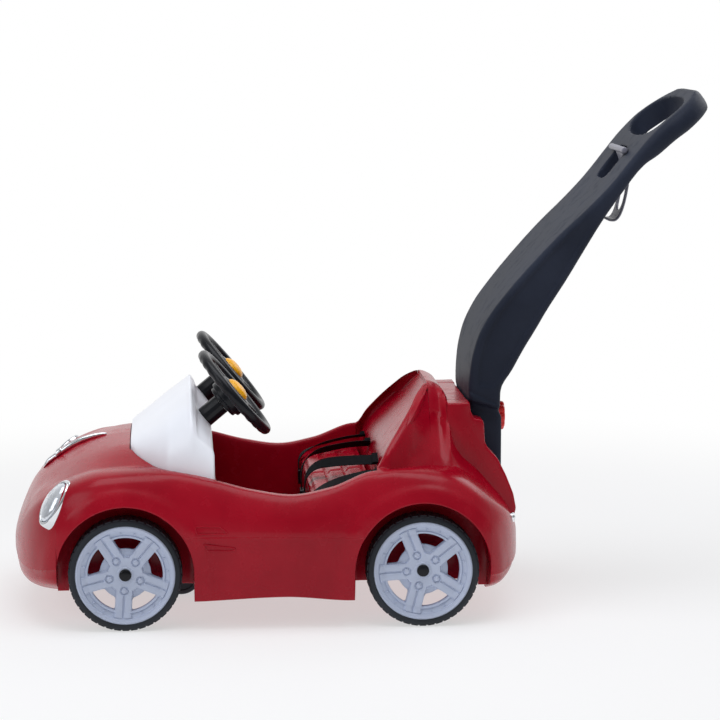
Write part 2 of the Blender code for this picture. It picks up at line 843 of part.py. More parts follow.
def lamp_frame(side):
    """Where a headlight sits and how it is turned; local Z points out of the fender."""
    turn = Euler((0, LAMP_PITCH, -side * LAMP_YAW))
    return turn, Vector((LAMP_X, side * LAMP_Y, LAMP_Z))


def oval(long, wide, z, sides=ROUND_SIDES):
    return [
        (
            long * math.cos(2 * math.pi * k / sides),
            wide * math.sin(2 * math.pi * k / sides),
            z,
        )
        for k in range(sides)
    ]


def dome(long, wide, base, rise, sides=ROUND_SIDES, steps=3, floor=None):
    """An oval dome with a flat bottom."""
    rings = []
    if floor is not None:
        rings.append(oval(long, wide, floor, sides))
    for k in range(steps):
        a = 0.5 * math.pi * k / steps
        s = math.cos(a)
        rings.append(oval(long * s, wide * s, base + rise * math.sin(a), sides))
    rings.append(oval(long * 0.08, wide * 0.08, base + rise, sides))
    return loft(rings)


def placed(bm, turn, shift):
    bm.transform(turn.to_matrix().to_4x4())
    bmesh.ops.translate(bm, verts=bm.verts, vec=shift)
    return bm


def lamp_seat_cutters():
    tools = []
    for side in SIDES.values():
        turn, spot = lamp_frame(side)
        grow = SEAT_GAP
        seat = loft(
            [
                oval(LAMP_LONG + grow, LAMP_WIDE + grow, -LAMP_SINK - grow),
                oval(LAMP_LONG + grow, LAMP_WIDE + grow, 0.05),
            ]
        )
        tools.append(placed(seat, turn, spot))
        x, y, z = TAIL_LAMP
        seat = rod(TAIL_LAMP_RADIUS + grow, -0.006 - grow, 0.03, 14)
        tools.append(moved(seat, (0, math.pi / 2, side * TAIL_LAMP_YAW), (x, side * y, z)))
    return joined(tools)


def build_lamps():
    for word, side in SIDES.items():
        turn, spot = lamp_frame(side)
        rim = loft(
            [
                oval(LAMP_LONG, LAMP_WIDE, -LAMP_SINK),
                oval(LAMP_LONG, LAMP_WIDE, 0.002),
                oval(LAMP_LONG - 0.002, LAMP_WIDE - 0.002, 0.004),
                oval(LAMP_LONG + SEAT_GAP - LAMP_LIP, LAMP_WIDE + SEAT_GAP - LAMP_LIP, 0.003),
                oval(LAMP_LONG + SEAT_GAP - LAMP_LIP, LAMP_WIDE + SEAT_GAP - LAMP_LIP, -0.003),
            ]
        )
        add(f"headlight_base_{word}", placed(rim, turn, spot), CHROME)
        long, wide = LAMP_LONG - LAMP_LIP, LAMP_WIDE - LAMP_LIP
        lens = dome(long, wide, 0.002, 0.013, floor=-0.003 + SEAT_GAP)
        add(f"headlight_lens_{word}", placed(lens, turn, spot), LENS)
        x, y, z = TAIL_LAMP
        lamp = turned(
            [
                (0, -0.006),
                (TAIL_LAMP_RADIUS, -0.006),
                (TAIL_LAMP_RADIUS, 0.003),
                (TAIL_LAMP_RADIUS * 0.7, 0.0065),
                (0, 0.008),
            ],
            14,
        )
        lamp = moved(lamp, (0, math.pi / 2, side * TAIL_LAMP_YAW), (x, side * y, z))
        add(f"tail_light_{word}", lamp, CHROME)


def build_spear():
    """The slim ornament down the middle of the hood, standing just clear of it."""
    rings = []
    for x, half, thick in (
        (-0.152, 0.004, 0.007),
        (-0.146, 0.0065, 0.012),
        (-0.130, 0.0065, 0.012),
        (-0.128, 0.009, 0.016),
        (-0.122, 0.009, 0.016),
        (-0.120, 0.006, 0.010),
        (-0.090, 0.005, 0.008),
        (-0.060, 0.004, 0.007),
        (-0.036, 0.0025, 0.005),
    ):
        low = crown_line(x) + 0.0006
        rings.append(
            [
                (x, -half, low),
                (x, half, low),
                (x, half, low + 0.6 * thick),
                (x, 0.4 * half, low + thick),
                (x, -0.4 * half, low + thick),
                (x, -half, low + 0.6 * thick),
            ]
        )
    add("hood_spear", loft(rings), CHROME)


def column_frame(side):
    """An empty at the middle of a steering wheel, with Z along its column."""
    frame = bpy.data.objects.new(f"steering_axis_{side}", None)
    bpy.context.scene.collection.objects.link(frame)
    frame.parent = CAR
    frame.location = (STEER_X, side * STEER_Y, STEER_Z)
    frame.rotation_euler = (0, STEER_TILT, 0)
    return frame


def build_screen():
    screen = add("windshield_dash", screen_loft(), WHITE, flat=35)
    cut(screen, guide("screen_hollow", screen_hollow()))
    holes = []
    for side in SIDES.values():
        hole = rod(COLUMN_RADIUS + SEAT_GAP, -0.12, 0.0)
        holes.append(moved(hole, (0, STEER_TILT, 0), (STEER_X, side * STEER_Y, STEER_Z)))
    cut(screen, guide("column_holes", joined(holes)))


def steering_wheel_mesh():
    rim = turned(
        [
            (
                STEER_RADIUS + STEER_TUBE * math.cos(2 * math.pi * k / 6),
                STEER_TUBE * 0.9 * math.sin(2 * math.pi * k / 6),
            )
            for k in range(6)
        ],
        26,
        closed=True,
    )
    wheel = add("wheel_rim_form", rim, BLACK)
    spokes = []
    for k in range(4):
        spoke = box(0.020, STEER_RADIUS, -0.0095, 0.0095, -0.006, 0.004)
        spokes.append(moved(spoke, (0, 0, math.pi * (0.25 + 0.5 * k))))
    hub = turned(
        [
            (0, -HUB_BOX_DEPTH - 0.004),
            (HUB_BOX_RADIUS - 0.006, -HUB_BOX_DEPTH - 0.004),
            (HUB_BOX_RADIUS, -HUB_BOX_DEPTH + 0.002),
            (HUB_BOX_RADIUS, 0.002),
            (HUB_BOX_RADIUS - 0.004, 0.006),
            (0, 0.006),
        ],
        ROUND_SIDES,
    )
    tools = [guide("hub_form", hub)]
    tools += [guide(f"spoke_form_{k}", s) for k, s in enumerate(spokes)]
    for tool in tools:
        cut(wheel, tool, "UNION")
    bore = turned(
        [
            (0, -HUB_BOX_DEPTH - 0.02),
            (SHAFT_RADIUS, -HUB_BOX_DEPTH - 0.02),
            (SHAFT_RADIUS, -0.014),
            (HORN_RADIUS + RUN_GAP * 2, -0.014),
            (HORN_RADIUS + RUN_GAP * 2, 0.02),
            (0, 0.02),
        ],
        ROUND_SIDES,
    )
    bore_tool = guide("hub_bore", bore)
    cut(wheel, bore_tool)
    mesh = settled_mesh(wheel, "steering_wheel")
    for tool in tools + [bore_tool]:
        bpy.data.objects.remove(tool)
    return mesh


def build_steering():
    mesh = steering_wheel_mesh()
    for word, side in SIDES.items():
        frame = column_frame(side)
        add_mesh(f"steering_wheel_{word}", mesh, BLACK, parent=frame)
        button = turned(
            [
                (0, -0.0085),
                (HORN_RADIUS, -0.0085),
                (HORN_RADIUS, 0.0065),
                (HORN_RADIUS * 0.86, 0.0115),
                (HORN_RADIUS * 0.55, 0.0155),
                (0, 0.0170),
            ],
            ROUND_SIDES,
        )
        add(f"horn_button_{word}", button, YELLOW, parent=frame)
        inner = SHAFT_RADIUS + RUN_GAP
        column = turned(
            [
                (inner, COLUMN_END),
                (COLUMN_RADIUS, COLUMN_END),
                (COLUMN_RADIUS, COLUMN_TOP),
                (inner, COLUMN_TOP),
            ],
            ROUND_SIDES,
            closed=True,
        )
        add(f"steering_column_{word}", column, BLACK, parent=frame)
        tip = COLUMN_END - 0.010
        shaft = rod(SHAFT_RADIUS - SEAT_GAP, tip, -0.014 - SEAT_GAP, 12)
        add(f"steering_shaft_{word}", shaft, STEEL, parent=frame)
        clip_top = COLUMN_END - SEAT_GAP
        clip = sleeve(SHAFT_RADIUS, 0.011, clip_top - CLIP_THICK, clip_top, 12)
        add(f"shaft_clip_{word}", clip, STEEL, parent=frame)


def rim_mesh():
    """One five-spoke rim; local Z points out of the car."""
    half = TYRE_WIDTH / 2
    seat = TYRE_RADIUS - TYRE_THICKNESS - SEAT_GAP
    barrel = seat - RIM_WALL
    bore = AXLE_RADIUS + RUN_GAP
    top = half - 0.007
    profile = [
        (WINDOW_OUTER, 0.005),
        (barrel, 0.005),
        (barrel, -half + 0.001),
        (seat, -half + 0.001),
        (seat, half - 0.001),
        (seat - 0.003, half + 0.001),
        (WINDOW_OUTER, half - 0.008),
    ]
    rim = add("rim_form", turned(profile, WHEEL_SIDES, closed=True), GREY)
    hub = turned(
        [
            (bore, -half + 0.001),
            (HUB_RADIUS, -half + 0.001),
            (HUB_RADIUS, 0.003),
            (WINDOW_INNER, 0.003),
            (WINDOW_INNER, 0.009),
            (HUB_FACE, top),
            (bore, top),
        ],
        ROUND_SIDES,
        closed=True,
    )
    tools = [(guide("hub", hub), "UNION")]
    width = SPOKE_WIDTH / 2

    def spoke():
        return box(HUB_RADIUS + 0.002, barrel - 0.002, -width, width, 0.007, top - 0.0004)

    def groove():
        low = top - 0.0025
        return box(0.042, barrel - 0.006, -SPOKE_GROOVE / 2, SPOKE_GROOVE / 2, low, 0.04)

    for k in range(SPOKES):
        arm = moved(spoke(), (0, 0, 2 * math.pi * k / SPOKES))
        tools.append((guide(f"spoke_{k}", arm), "UNION"))
    tools.append((guide("grooves", around(groove, SPOKES)), "DIFFERENCE"))
    for tool, operation in tools:
        cut(rim, tool, operation)
    mesh = settled_mesh(rim, "wheel_rim")
    for tool, _ in tools:
        bpy.data.objects.remove(tool)
    return mesh


def tyre_mesh():
    half = TYRE_WIDTH / 2
    seat = TYRE_RADIUS - TYRE_THICKNESS
    profile = [
        (seat, -half),
        (TYRE_RADIUS - 0.004, -half),
        (TYRE_RADIUS, -half + 0.006),
        (TYRE_RADIUS, half - 0.006),
        (TYRE_RADIUS - 0.004, half),
        (seat, half),
    ]
    tyre = add("tyre_form", turned(profile, WHEEL_SIDES, closed=True), TYRE)
    return settled_mesh(tyre, "tyre")


def build_wheels():
    rim, tyre = rim_mesh(), tyre_mesh()
    half = TYRE_WIDTH / 2
    hub_end = TRACK_HALF - half + 0.001
    for axle, x in AXLES.items():
        bar_end = TRACK_HALF + half - 0.008
        bar = moved(rod(AXLE_RADIUS, -bar_end, bar_end), ALONG_Y)
        add(f"axle_{axle}", bar, STEEL, (x, 0, TYRE_RADIUS))
        for word, side in SIDES.items():
            name = f"{axle}_{word}"
            frame = bpy.data.objects.new(f"wheel_axis_{name}", None)
            bpy.context.scene.collection.objects.link(frame)
            frame.parent = CAR
            frame.location = (x, side * TRACK_HALF, TYRE_RADIUS)
            frame.rotation_euler = (-side * math.pi / 2, 0, 0)
            add_mesh(f"wheel_rim_{name}", rim, GREY, parent=frame)
            add_mesh(f"tyre_{name}", tyre, TYRE, parent=frame)
            top = half - 0.007
            cap = turned(
                [
                    (0, top + SEAT_GAP),
                    (CAP_RADIUS, top + SEAT_GAP),
                    (CAP_RADIUS, top + 0.004),
                    (CAP_RADIUS * 0.7, top + 0.006),
                    (0, top + 0.0065),
                ],
                12,
            )
            add(f"wheel_cap_{name}", cap, BLACK, parent=frame)
            low, high = WELL_WALL + SEAT_GAP, hub_end - SEAT_GAP
            spacer = sleeve(AXLE_RADIUS + RUN_GAP, SPACER_RADIUS, low, high, 12)
            spacer = moved(spacer, (-side * math.pi / 2, 0, 0))
            add(f"axle_spacer_{name}", spacer, BLACK, (x, 0, TYRE_RADIUS))


seat_top = curve(
    (SEAT_FRONT, 0.2135),
    (SEAT_FRONT + 0.010, 0.2185),
    (SEAT_FRONT + 0.030, 0.2210),
    (SEAT_FRONT + 0.112, 0.2320),
)


def build_bench():
    """The seat: a moulded bench with rows of raised square pads."""
    low_half = SEAT_HALF - SEAT_GAP
    wide = CABIN_HALF - 2 * SEAT_GAP
    front = SEAT_FRONT + 0.0005
    rear = seat_back(SEAT_BOTTOM) - 0.0015
    across = pad_breaks(-PAD_HALF, PAD_HALF, PAD_COLUMNS)
    bend = rear - CABIN_CORNER
    along = pad_breaks(front + 0.004, rear - 0.004, PAD_ROWS)
    stations = [(front, 0.0), (front + 0.002, 0.0)] + along + [(rear, 0.0)]
    rings = []
    for x, up in stations:
        base = seat_top(x) - (0.002 if x == front else 0.0)
        turn = min(max((x - bend) / CABIN_CORNER + 0.05, 0.0), 1.0)
        half = wide - CABIN_CORNER * (1 - math.sqrt(1 - turn**2))
        line = [(half, base - 0.003)]
        reach = half / wide
        line += [(y * reach, base + PAD_RISE * rise * up) for y, rise in reversed(across)]
        line += [(-half, base - 0.003)]
        ring = [(x, y, z) for y, z in line]
        ring += [
            (x, -half, SEAT_LEDGE + SEAT_GAP),
            (x, -low_half, SEAT_LEDGE + SEAT_GAP),
            (x, -low_half, SEAT_BOTTOM + SEAT_GAP),
            (x, low_half, SEAT_BOTTOM + SEAT_GAP),
            (x, low_half, SEAT_LEDGE + SEAT_GAP),
            (x, half, SEAT_LEDGE + SEAT_GAP),
        ]
        rings.append(ring)
    add("seat_bench", loft(rings), RED)


def pad_breaks(low, high, count):
    """Places across a row of pads, each with 0 in a seam and 1 on a pad."""
    pitch = (high - low) / count
    places = []
    for k in range(count):
        start = low + k * pitch
        places += [(start, 0.0), (start + PAD_EDGE, 1.0), (start + pitch - PAD_EDGE, 1.0)]
    return places + [(high, 0.0)]


def along_loop(d, n):
    """A point of the handle's straight top part: d along it and n across it."""
    c, s = math.cos(LOOP_SLOPE), math.sin(LOOP_SLOPE)
    return (LEG_FRONT + c * d - s * n, s * d + c * n)


def handle_stations():
    """(front x, front z), (rear x, rear z), half width."""
    leg_top = 0.352
    barrel = PIVOT_X - LEG_FRONT
    leg = []
    for a in np.radians((-84, -62, -40, -20, -4)):
        z, reach = PIVOT_Z + barrel * math.sin(a), barrel * math.cos(a)
        leg.append(((PIVOT_X - reach, z), (PIVOT_X + reach, z), LEG_HALF))
    leg += [
        ((LEG_FRONT, leg_top), (LEG_REAR, leg_top - 0.004), LEG_HALF),
        ((LEG_FRONT, leg_top + 0.020), (LEG_REAR - 0.004, leg_top + 0.008), LEG_HALF),
        ((LEG_FRONT, leg_top + 0.0265), (LEG_REAR - 0.004, leg_top + 0.016), 0.118),
    ]
    blade = [
        ((LEG_FRONT - 0.0005, 0.395), (LEG_FRONT + 0.058, 0.390), 0.120),
        ((LEG_FRONT + 0.0020, 0.435), (LEG_FRONT + 0.079, 0.430), 0.122),
        ((LEG_FRONT + 0.0120, 0.482), (LEG_FRONT + 0.100, 0.470), 0.126),
        ((LEG_FRONT + 0.0330, 0.527), (LEG_FRONT + 0.121, 0.506), 0.130),
        ((LEG_FRONT + 0.0610, 0.566), (LEG_FRONT + 0.138, 0.537), 0.134),
        ((LEG_FRONT + 0.1080, 0.622), (LEG_FRONT + 0.173, 0.594), 0.140),
        ((LEG_FRONT + 0.1600, 0.678), (LEG_FRONT + 0.207, 0.653), 0.146),
        ((LEG_FRONT + 0.2080, 0.724), (LEG_FRONT + 0.236, 0.702), 0.151),
        ((LEG_FRONT + 0.2480, 0.766), (LEG_FRONT + 0.267, 0.748), 0.155),
    ]
    loop = []
    for d, thick, half in (
        (HOLE_START - 0.036, LOOP_THICK * 0.65, 0.159),
        (HOLE_START - 0.007, LOOP_THICK * 0.85, 0.163),
        (LOOP_END - 0.098, LOOP_THICK * 0.95, LOOP_HALF),
        (LOOP_END - 0.058, LOOP_THICK, LOOP_HALF - 0.007),
        (LOOP_END - 0.030, LOOP_THICK, LOOP_HALF - 0.027),
        (LOOP_END - 0.012, LOOP_THICK * 0.95, LOOP_HALF - 0.057),
        (LOOP_END - 0.004, LOOP_THICK * 0.85, LOOP_HALF - 0.090),
        (LOOP_END, LOOP_THICK * 0.65, LOOP_HALF - 0.120),
    ):
        mid = LOOP_MID - 0.008 * max(0, (HOLE_START + 0.038 - d) / 0.074)
        loop.append((along_loop(d, mid + thick / 2), along_loop(d, mid - thick / 2), half))
    return leg + blade + loop


def handle_ring(front, rear, half, corner=0.010):
    """A rounded rectangle between the front and rear lines, half wide each side."""
    fx, fz = front
    rx, rz = rear
    deep = math.hypot(rx - fx, rz - fz)
    c = min(corner, deep * 0.40, half * 0.4)
    points = []
    for u, v in (
        (0, half - c),
        (c * 0.3, half - c * 0.3),
        (c, half),
        (deep - c, half),
        (deep - c * 0.3, half - c * 0.3),
        (deep, half - c),
    ):
        points.append((u / deep, v))
    ring = points + [(u, -v) for u, v in reversed(points)]
    return [(fx + (rx - fx) * u, v, fz + (rz - fz) * u) for u, v in ring]


def in_handle(bm, d, n):
    """Lays a shape made with X along, Y across and Z out of the loop's plane."""
    x, z = along_loop(d, n)
    return moved(bm, (0, -LOOP_SLOPE, 0), (x, 0, z))


def build_handle():
    frame = bpy.data.objects.new("handle_axis", None)
    bpy.context.scene.collection.objects.link(frame)
    frame.parent = CAR
    frame.location = (PIVOT_X, 0, PIVOT_Z)
    back = (-PIVOT_X, 0, -PIVOT_Z)
    form = loft([handle_ring(*s) for s in handle_stations()])
    handle = add("push_handle", form, CHARCOAL, back, frame, flat=40)
    hole_half = LOOP_HALF - LOOP_BAR - 0.002
    outline = rounded_box_ring(0, LOOP_END - LOOP_BAR - HOLE_START, hole_half, 0, 0.046, 4)
    hole = prism([(x, y) for x, y, _ in outline], -0.06, 0.06, plane="XY")
    cut(handle, guide("hand_hole", in_handle(hole, HOLE_START, LOOP_MID)))
    slot = rounded_box_ring(-0.0415, 0.0290, SLOT_HALF, 0, 0.010, 2)
    slot = prism([(x, y) for x, y, _ in slot], -0.08, 0.05, plane="XY")
    cut(handle, guide("hook_slot", in_handle(slot, SLOT_MIDDLE, LOOP_MID)))
    rest_half = HOOK_HEAD_HALF + 0.002
    rest = rod(HOOK_HEAD + 2 * SEAT_GAP, -rest_half, rest_half)
    rest = moved(rest, ALONG_Y, (HOOK_X, 0, HOOK_Z))
    cut(handle, guide("hook_rest", rest))
    pin = moved(rod(PIVOT_RADIUS + RUN_GAP, -0.2, 0.2), ALONG_Y, (PIVOT_X, 0, PIVOT_Z))
    cut(handle, guide("pivot_bore", pin))
    bolt = moved(rod(BOLT_RADIUS + RUN_GAP, 0.55, 0.80), (0, math.pi / 2, 0), (0, 0, KNOB_Z))
    cut(handle, guide("bolt_bore", bolt))
    half = TRUNK_HALF - 0.010
    pin = moved(rod(PIVOT_RADIUS, -half, half), ALONG_Y)
    add("handle_pin", pin, STEEL, (PIVOT_X, 0, PIVOT_Z))
    build_knob(frame)
    build_hook(frame)


def build_knob(frame):
    sides = 27  # three for each of nine finger flutes
    rings = []
    start = LEG_REAR + SEAT_GAP - PIVOT_X
    for x, share in (
        (start, 0.80),
        (start + 0.002, 1.0),
        (start + KNOB_DEPTH - 0.003, 1.0),
        (start + KNOB_DEPTH, 0.86),
    ):
        ring = []
        for k in range(sides):
            a = 2 * math.pi * k / sides
            r = KNOB_RADIUS * share * (1 - 0.05 * (0.5 + 0.5 * math.cos(9 * a)))
            ring.append((x, r * math.cos(a), r * math.sin(a)))
        rings.append(ring)
    knob = loft(rings)
    place = (0, 0, KNOB_Z - PIVOT_Z)
    knob = add("handle_knob", knob, KNOB_RED, place, frame)
    tip = BOLT_TIP - PIVOT_X
    head = start + 0.008
    bolt = moved(rod(BOLT_RADIUS, tip, head - SEAT_GAP), (0, math.pi / 2, 0))
    seat = moved(rod(BOLT_RADIUS + SEAT_GAP, tip, head), (0, math.pi / 2, 0))
    cut(knob, guide("bolt_seat", seat, place, frame))
    add("handle_bolt", bolt, STEEL, place, frame)


def build_hook(frame):
    """A flat bag hook that hangs by its round head through the slot."""
    line = [
        (0.0, 0.0),
        (0.0085, -0.020),
        (0.0140, -0.046),
        (0.0085, -0.088),
        (-0.0020, -0.122),
        (-0.0110, -0.131),
        (-0.0260, -0.127),
    ]
    thick = 0.0035
    left, right = [], []
    for i, (x, z) in enumerate(line):
        a = line[max(i - 1, 0)]
        b = line[min(i + 1, len(line) - 1)]
        size = math.hypot(b[0] - a[0], b[1] - a[1])
        nx, nz = -(b[1] - a[1]) / size, (b[0] - a[0]) / size
        left.append((x + nx * thick, z + nz * thick))
        right.append((x - nx * thick, z - nz * thick))
    outline = left + right[::-1]
    place = (HOOK_X - PIVOT_X, 0, HOOK_Z - PIVOT_Z)
    hook = add("bag_hook", prism(outline, -HOOK_HALF, HOOK_HALF), HOOK_GREY, place, frame)
    head = moved(rod(HOOK_HEAD, -HOOK_HEAD_HALF, HOOK_HEAD_HALF), ALONG_Y)
    cut(hook, guide("hook_head", head, place, frame), "UNION")
    window = box(-0.02, 0.05, -HOOK_HALF + 0.012, HOOK_HALF - 0.012, -0.112, -0.062)
    cut(hook, guide("hook_window", window, place, frame))


def build_caster():
    base = bpy.data.objects.new("caster_axis", None)
    bpy.context.scene.collection.objects.link(base)
    base.parent = CAR
    base.location = (CASTER_X, 0, 0)
    roof = CASTER_ROOF - SEAT_GAP
    bush = sleeve(CASTER_STEM + RUN_GAP, BUSH_RADIUS, roof - 0.001, roof + 0.028)
    add("caster_bush", bush, BLACK, (CASTER_X, 0, 0))
    crown = roof - 0.0015
    arm = 0.004
    inside = CASTER_WIDTH / 2 + 0.001
    axle_z = CASTER_RADIUS
    fork = [
        (-0.012, crown),
        (0.016, crown),
        (CASTER_TRAIL + 0.009, axle_z + 0.004),
        (CASTER_TRAIL + 0.004, axle_z - 0.008),
        (CASTER_TRAIL - 0.006, axle_z - 0.007),
        (-0.012, crown - 0.010),
    ]
    outer = inside + arm
    fork_bm = prism(fork, -outer, outer)
    body = add("caster_fork", fork_bm, BLACK, parent=base)
    room = [
        (-0.02, crown - 0.004),
        (0.06, crown - 0.004),
        (0.06, 0.0),
        (-0.02, 0.0),
    ]
    cut(body, guide("fork_room", prism(room, -inside, inside), parent=base))
    stem = rod(CASTER_STEM, crown - 0.002, roof + 0.026)
    cut(body, guide("caster_stem", stem, parent=base), "UNION")
    pin_hole = rod(CASTER_PIN + SEAT_GAP, -0.03, 0.03, 12)
    pin_hole = moved(pin_hole, ALONG_Y, (CASTER_TRAIL, 0, axle_z))
    cut(body, guide("fork_hole", pin_hole, parent=base))
    pin = moved(rod(CASTER_PIN, -outer, outer, 12), ALONG_Y)
    add("caster_axle", pin, STEEL, (CASTER_TRAIL, 0, axle_z), base)
    wheel = turned(
        [
            (CASTER_PIN + RUN_GAP, -CASTER_WIDTH / 2),
            (CASTER_RADIUS - 0.003, -CASTER_WIDTH / 2),
            (CASTER_RADIUS, -CASTER_WIDTH / 2 + 0.003),
            (CASTER_RADIUS, CASTER_WIDTH / 2 - 0.003),
            (CASTER_RADIUS - 0.003, CASTER_WIDTH / 2),
            (CASTER_PIN + RUN_GAP, CASTER_WIDTH / 2),
        ],
        20,
        closed=True,
    )
    wheel = moved(wheel, ALONG_Y)
    add("caster_wheel", wheel, TYRE, (CASTER_TRAIL, 0, axle_z), base)


def belt_path(hang_x, low):
    """Side view of a strap: it hangs in front of the bench, then lies back over the pads."""
    top = PAD_RISE + 2 * SEAT_GAP
    lip = seat_top(SEAT_FRONT) + top
    path = [(hang_x, low), (hang_x, lip - 0.008), (SEAT_FRONT + 0.003, lip + 0.0035)]
    return path + [(x, seat_top(x) + top) for x in np.linspace(SEAT_FRONT + 0.014, 0.434, 6)]


def build_belt(word, kind, y, fitting, hang):
    """One strap, with the fitting on its hanging end given as half width, depth, height."""
    half, deep, tall = fitting
    back = SEAT_FRONT - 2 * SEAT_GAP
    hang_x = back - deep / 2 + STRAP_THICK / 2
    low = seat_top(SEAT_FRONT) - hang
    rings = []
    for k, (x, z) in enumerate(belt_path(hang_x, low)):
        over = (-STRAP_THICK, 0) if k < 2 else (0, STRAP_THICK)
        ring = [(x, y - STRAP_HALF, z), (x, y + STRAP_HALF, z)]
        ring += [(x + over[0], v, z + over[1]) for v in (y + STRAP_HALF, y - STRAP_HALF)]
        rings.append(ring)
    part = "inner" if kind == "buckle" else "outer"
    add(f"belt_{word}_{part}", loft(rings), WEB)
    top = low - SEAT_GAP
    body = box(back - deep, back, y - half, y + half, top - tall, top)
    add(f"{kind}_{word}", body, BLACK)


def build_belts():
    """Each seat has a strap with a buckle and a strap with its tongue."""
    for word, side in SIDES.items():
        inner, outer = side * STRAP_INNER_Y, side * STRAP_OUTER_Y
        build_belt(word, "buckle", inner, (0.016, 0.009, 0.034), 0.030)
        build_belt(word, "tongue", outer, (0.013, 0.005, 0.028), 0.018)


build_body()
build_screen()
build_bench()
build_lamps()
build_spear()
build_steering()
build_wheels()
build_caster()
build_handle()
build_belts()
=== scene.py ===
# %% [markdown]
# # A two-seat push car
#
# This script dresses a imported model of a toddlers' push car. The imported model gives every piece
# its place and size; the cells below give the pieces their moulded surfaces and their finishes.
# Everything is in metres, the car faces -X, its left side is -Y and the ground is at Z = 0.

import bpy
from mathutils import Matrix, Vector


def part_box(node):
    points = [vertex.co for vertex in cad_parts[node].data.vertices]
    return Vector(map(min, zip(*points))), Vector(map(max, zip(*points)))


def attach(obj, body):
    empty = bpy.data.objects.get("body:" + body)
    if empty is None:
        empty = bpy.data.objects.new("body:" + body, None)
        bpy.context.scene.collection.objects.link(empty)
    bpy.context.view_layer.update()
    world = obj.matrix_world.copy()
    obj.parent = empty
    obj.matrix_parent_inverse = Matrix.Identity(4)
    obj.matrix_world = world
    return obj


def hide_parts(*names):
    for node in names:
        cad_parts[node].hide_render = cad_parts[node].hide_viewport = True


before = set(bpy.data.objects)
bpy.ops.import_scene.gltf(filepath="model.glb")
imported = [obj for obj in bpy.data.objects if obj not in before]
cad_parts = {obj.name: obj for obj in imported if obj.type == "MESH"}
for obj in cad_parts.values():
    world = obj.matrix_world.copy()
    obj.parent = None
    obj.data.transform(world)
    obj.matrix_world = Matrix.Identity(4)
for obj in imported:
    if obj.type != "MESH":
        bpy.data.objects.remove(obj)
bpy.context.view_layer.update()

# %% Modules and places
import math

import bmesh
import bpy
import numpy as np
from mathutils import Matrix, Vector
from mathutils.bvhtree import BVHTree


def middle(node):
    low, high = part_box(node)
    return (low + high) / 2


AXLE_X = middle("axle_front").x
WHEELBASE = middle("axle_rear").x - AXLE_X
TYRE_RADIUS = middle("axle_front").z
print(f"front axle at x {AXLE_X:.4f}, wheelbase {WHEELBASE:.3f}, wheel radius {TYRE_RADIUS:.3f}")

# %% [markdown]
# ## Curves that describe moulded forms
#
# A moulded body has few straight lines. Designers draw it as long lines seen from the side and
# from above, and the surface is what joins them. `curve` reads such a line: it passes smoothly
# through a few points and never swings past them. `rounded` turns a coarse outline into a soft
# one by cutting its corners again and again.

# %% Lines and outlines


def curve(*points):
    """A smooth line through (place, value) points that never swings past them."""
    at = np.array([p[0] for p in points], float)
    value = np.array([p[1] for p in points], float)
    step = np.diff(at)
    slope = np.diff(value) / step
    lean = np.zeros(len(at))
    same = slope[1:] * slope[:-1] > 0
    lean[1:-1][same] = (2 * slope[1:] * slope[:-1])[same] / (slope[1:] + slope[:-1])[same]
    lean[0], lean[-1] = slope[0], slope[-1]

    def read(x):
        x = min(max(x, at[0]), at[-1])
        i = min(int(np.searchsorted(at, x, side="right")) - 1, len(step) - 1)
        t = (x - at[i]) / step[i]
        a = (1 + 2 * t) * (1 - t) ** 2 * value[i] + t * t * (3 - 2 * t) * value[i + 1]
        b = t * (1 - t) ** 2 * step[i] * lean[i] - t * t * (1 - t) * step[i] * lean[i + 1]
        return float(a + b)

    return read


def rounded(points, times):
    """Cuts the corners of an open line of points; doubled points stay sharper."""
    for _ in range(times):
        trimmed = [points[0]]
        for a, b in zip(points, points[1:]):
            if a != b:
                trimmed.append(tuple(0.75 * p + 0.25 * q for p, q in zip(a, b)))
                trimmed.append(tuple(0.25 * p + 0.75 * q for p, q in zip(a, b)))
        trimmed.append(points[-1])
        points = trimmed
    return points


def ease(share):
    """A soft step: 0 up to 0, 1 from 1 on."""
    share = min(max(share, 0.0), 1.0)
    return share * share * (3 - 2 * share)


def smooth(value, low, high):
    """A soft step from 0 at low to 1 at high."""
    return ease((value - low) / (high - low))


def soft_gate(value, rise, full, fall, end):
    """0 outside rise and end, 1 between full and fall."""
    return ease(min((value - rise) / (full - rise), (end - value) / (end - fall)))


def quarter_round(share):
    """How deep a rounded edge lies: 1 at its brink, 0 from share 1 on."""
    return 1 - math.sqrt(max(1 - (1 - min(share, 1.0)) ** 2, 0.0))


def turns(count):
    """Even angles once round."""
    return [2 * math.pi * k / count for k in range(count)]


def path_reader(points, reach):
    """Reads a line of (x, z) points by its length: (x, z, normal x, normal z), and its length."""
    points = np.array(points)
    steps = np.concatenate([[0], np.cumsum(np.hypot(*np.diff(points, axis=0).T))])
    line_x, line_z = (curve(*zip(steps, points[:, k])) for k in (0, 1))

    def read(s):
        dx, dz = (line(s + reach) - line(s - reach) for line in (line_x, line_z))
        size = math.hypot(dx, dz)
        return line_x(s), line_z(s), -dz / size, dx / size

    return read, steps[-1]


print("lines are ready")

# %% Solids and pieces


def loft(rings, closed=False):
    """Skins rings of equal length; the ends are capped, or joined to each other if closed."""
    bm = bmesh.new()
    rows = [[bm.verts.new(p) for p in ring] for ring in rings]
    count = len(rows[0])
    for low, high in zip(rows, rows[1:] + rows[:1] if closed else rows[1:]):
        for i in range(count):
            j = (i + 1) % count
            bm.faces.new((low[i], low[j], high[j], high[i]))
    if not closed:
        bm.faces.new(rows[0])
        bm.faces.new(rows[-1])
    bmesh.ops.recalc_face_normals(bm, faces=bm.faces)
    return bm


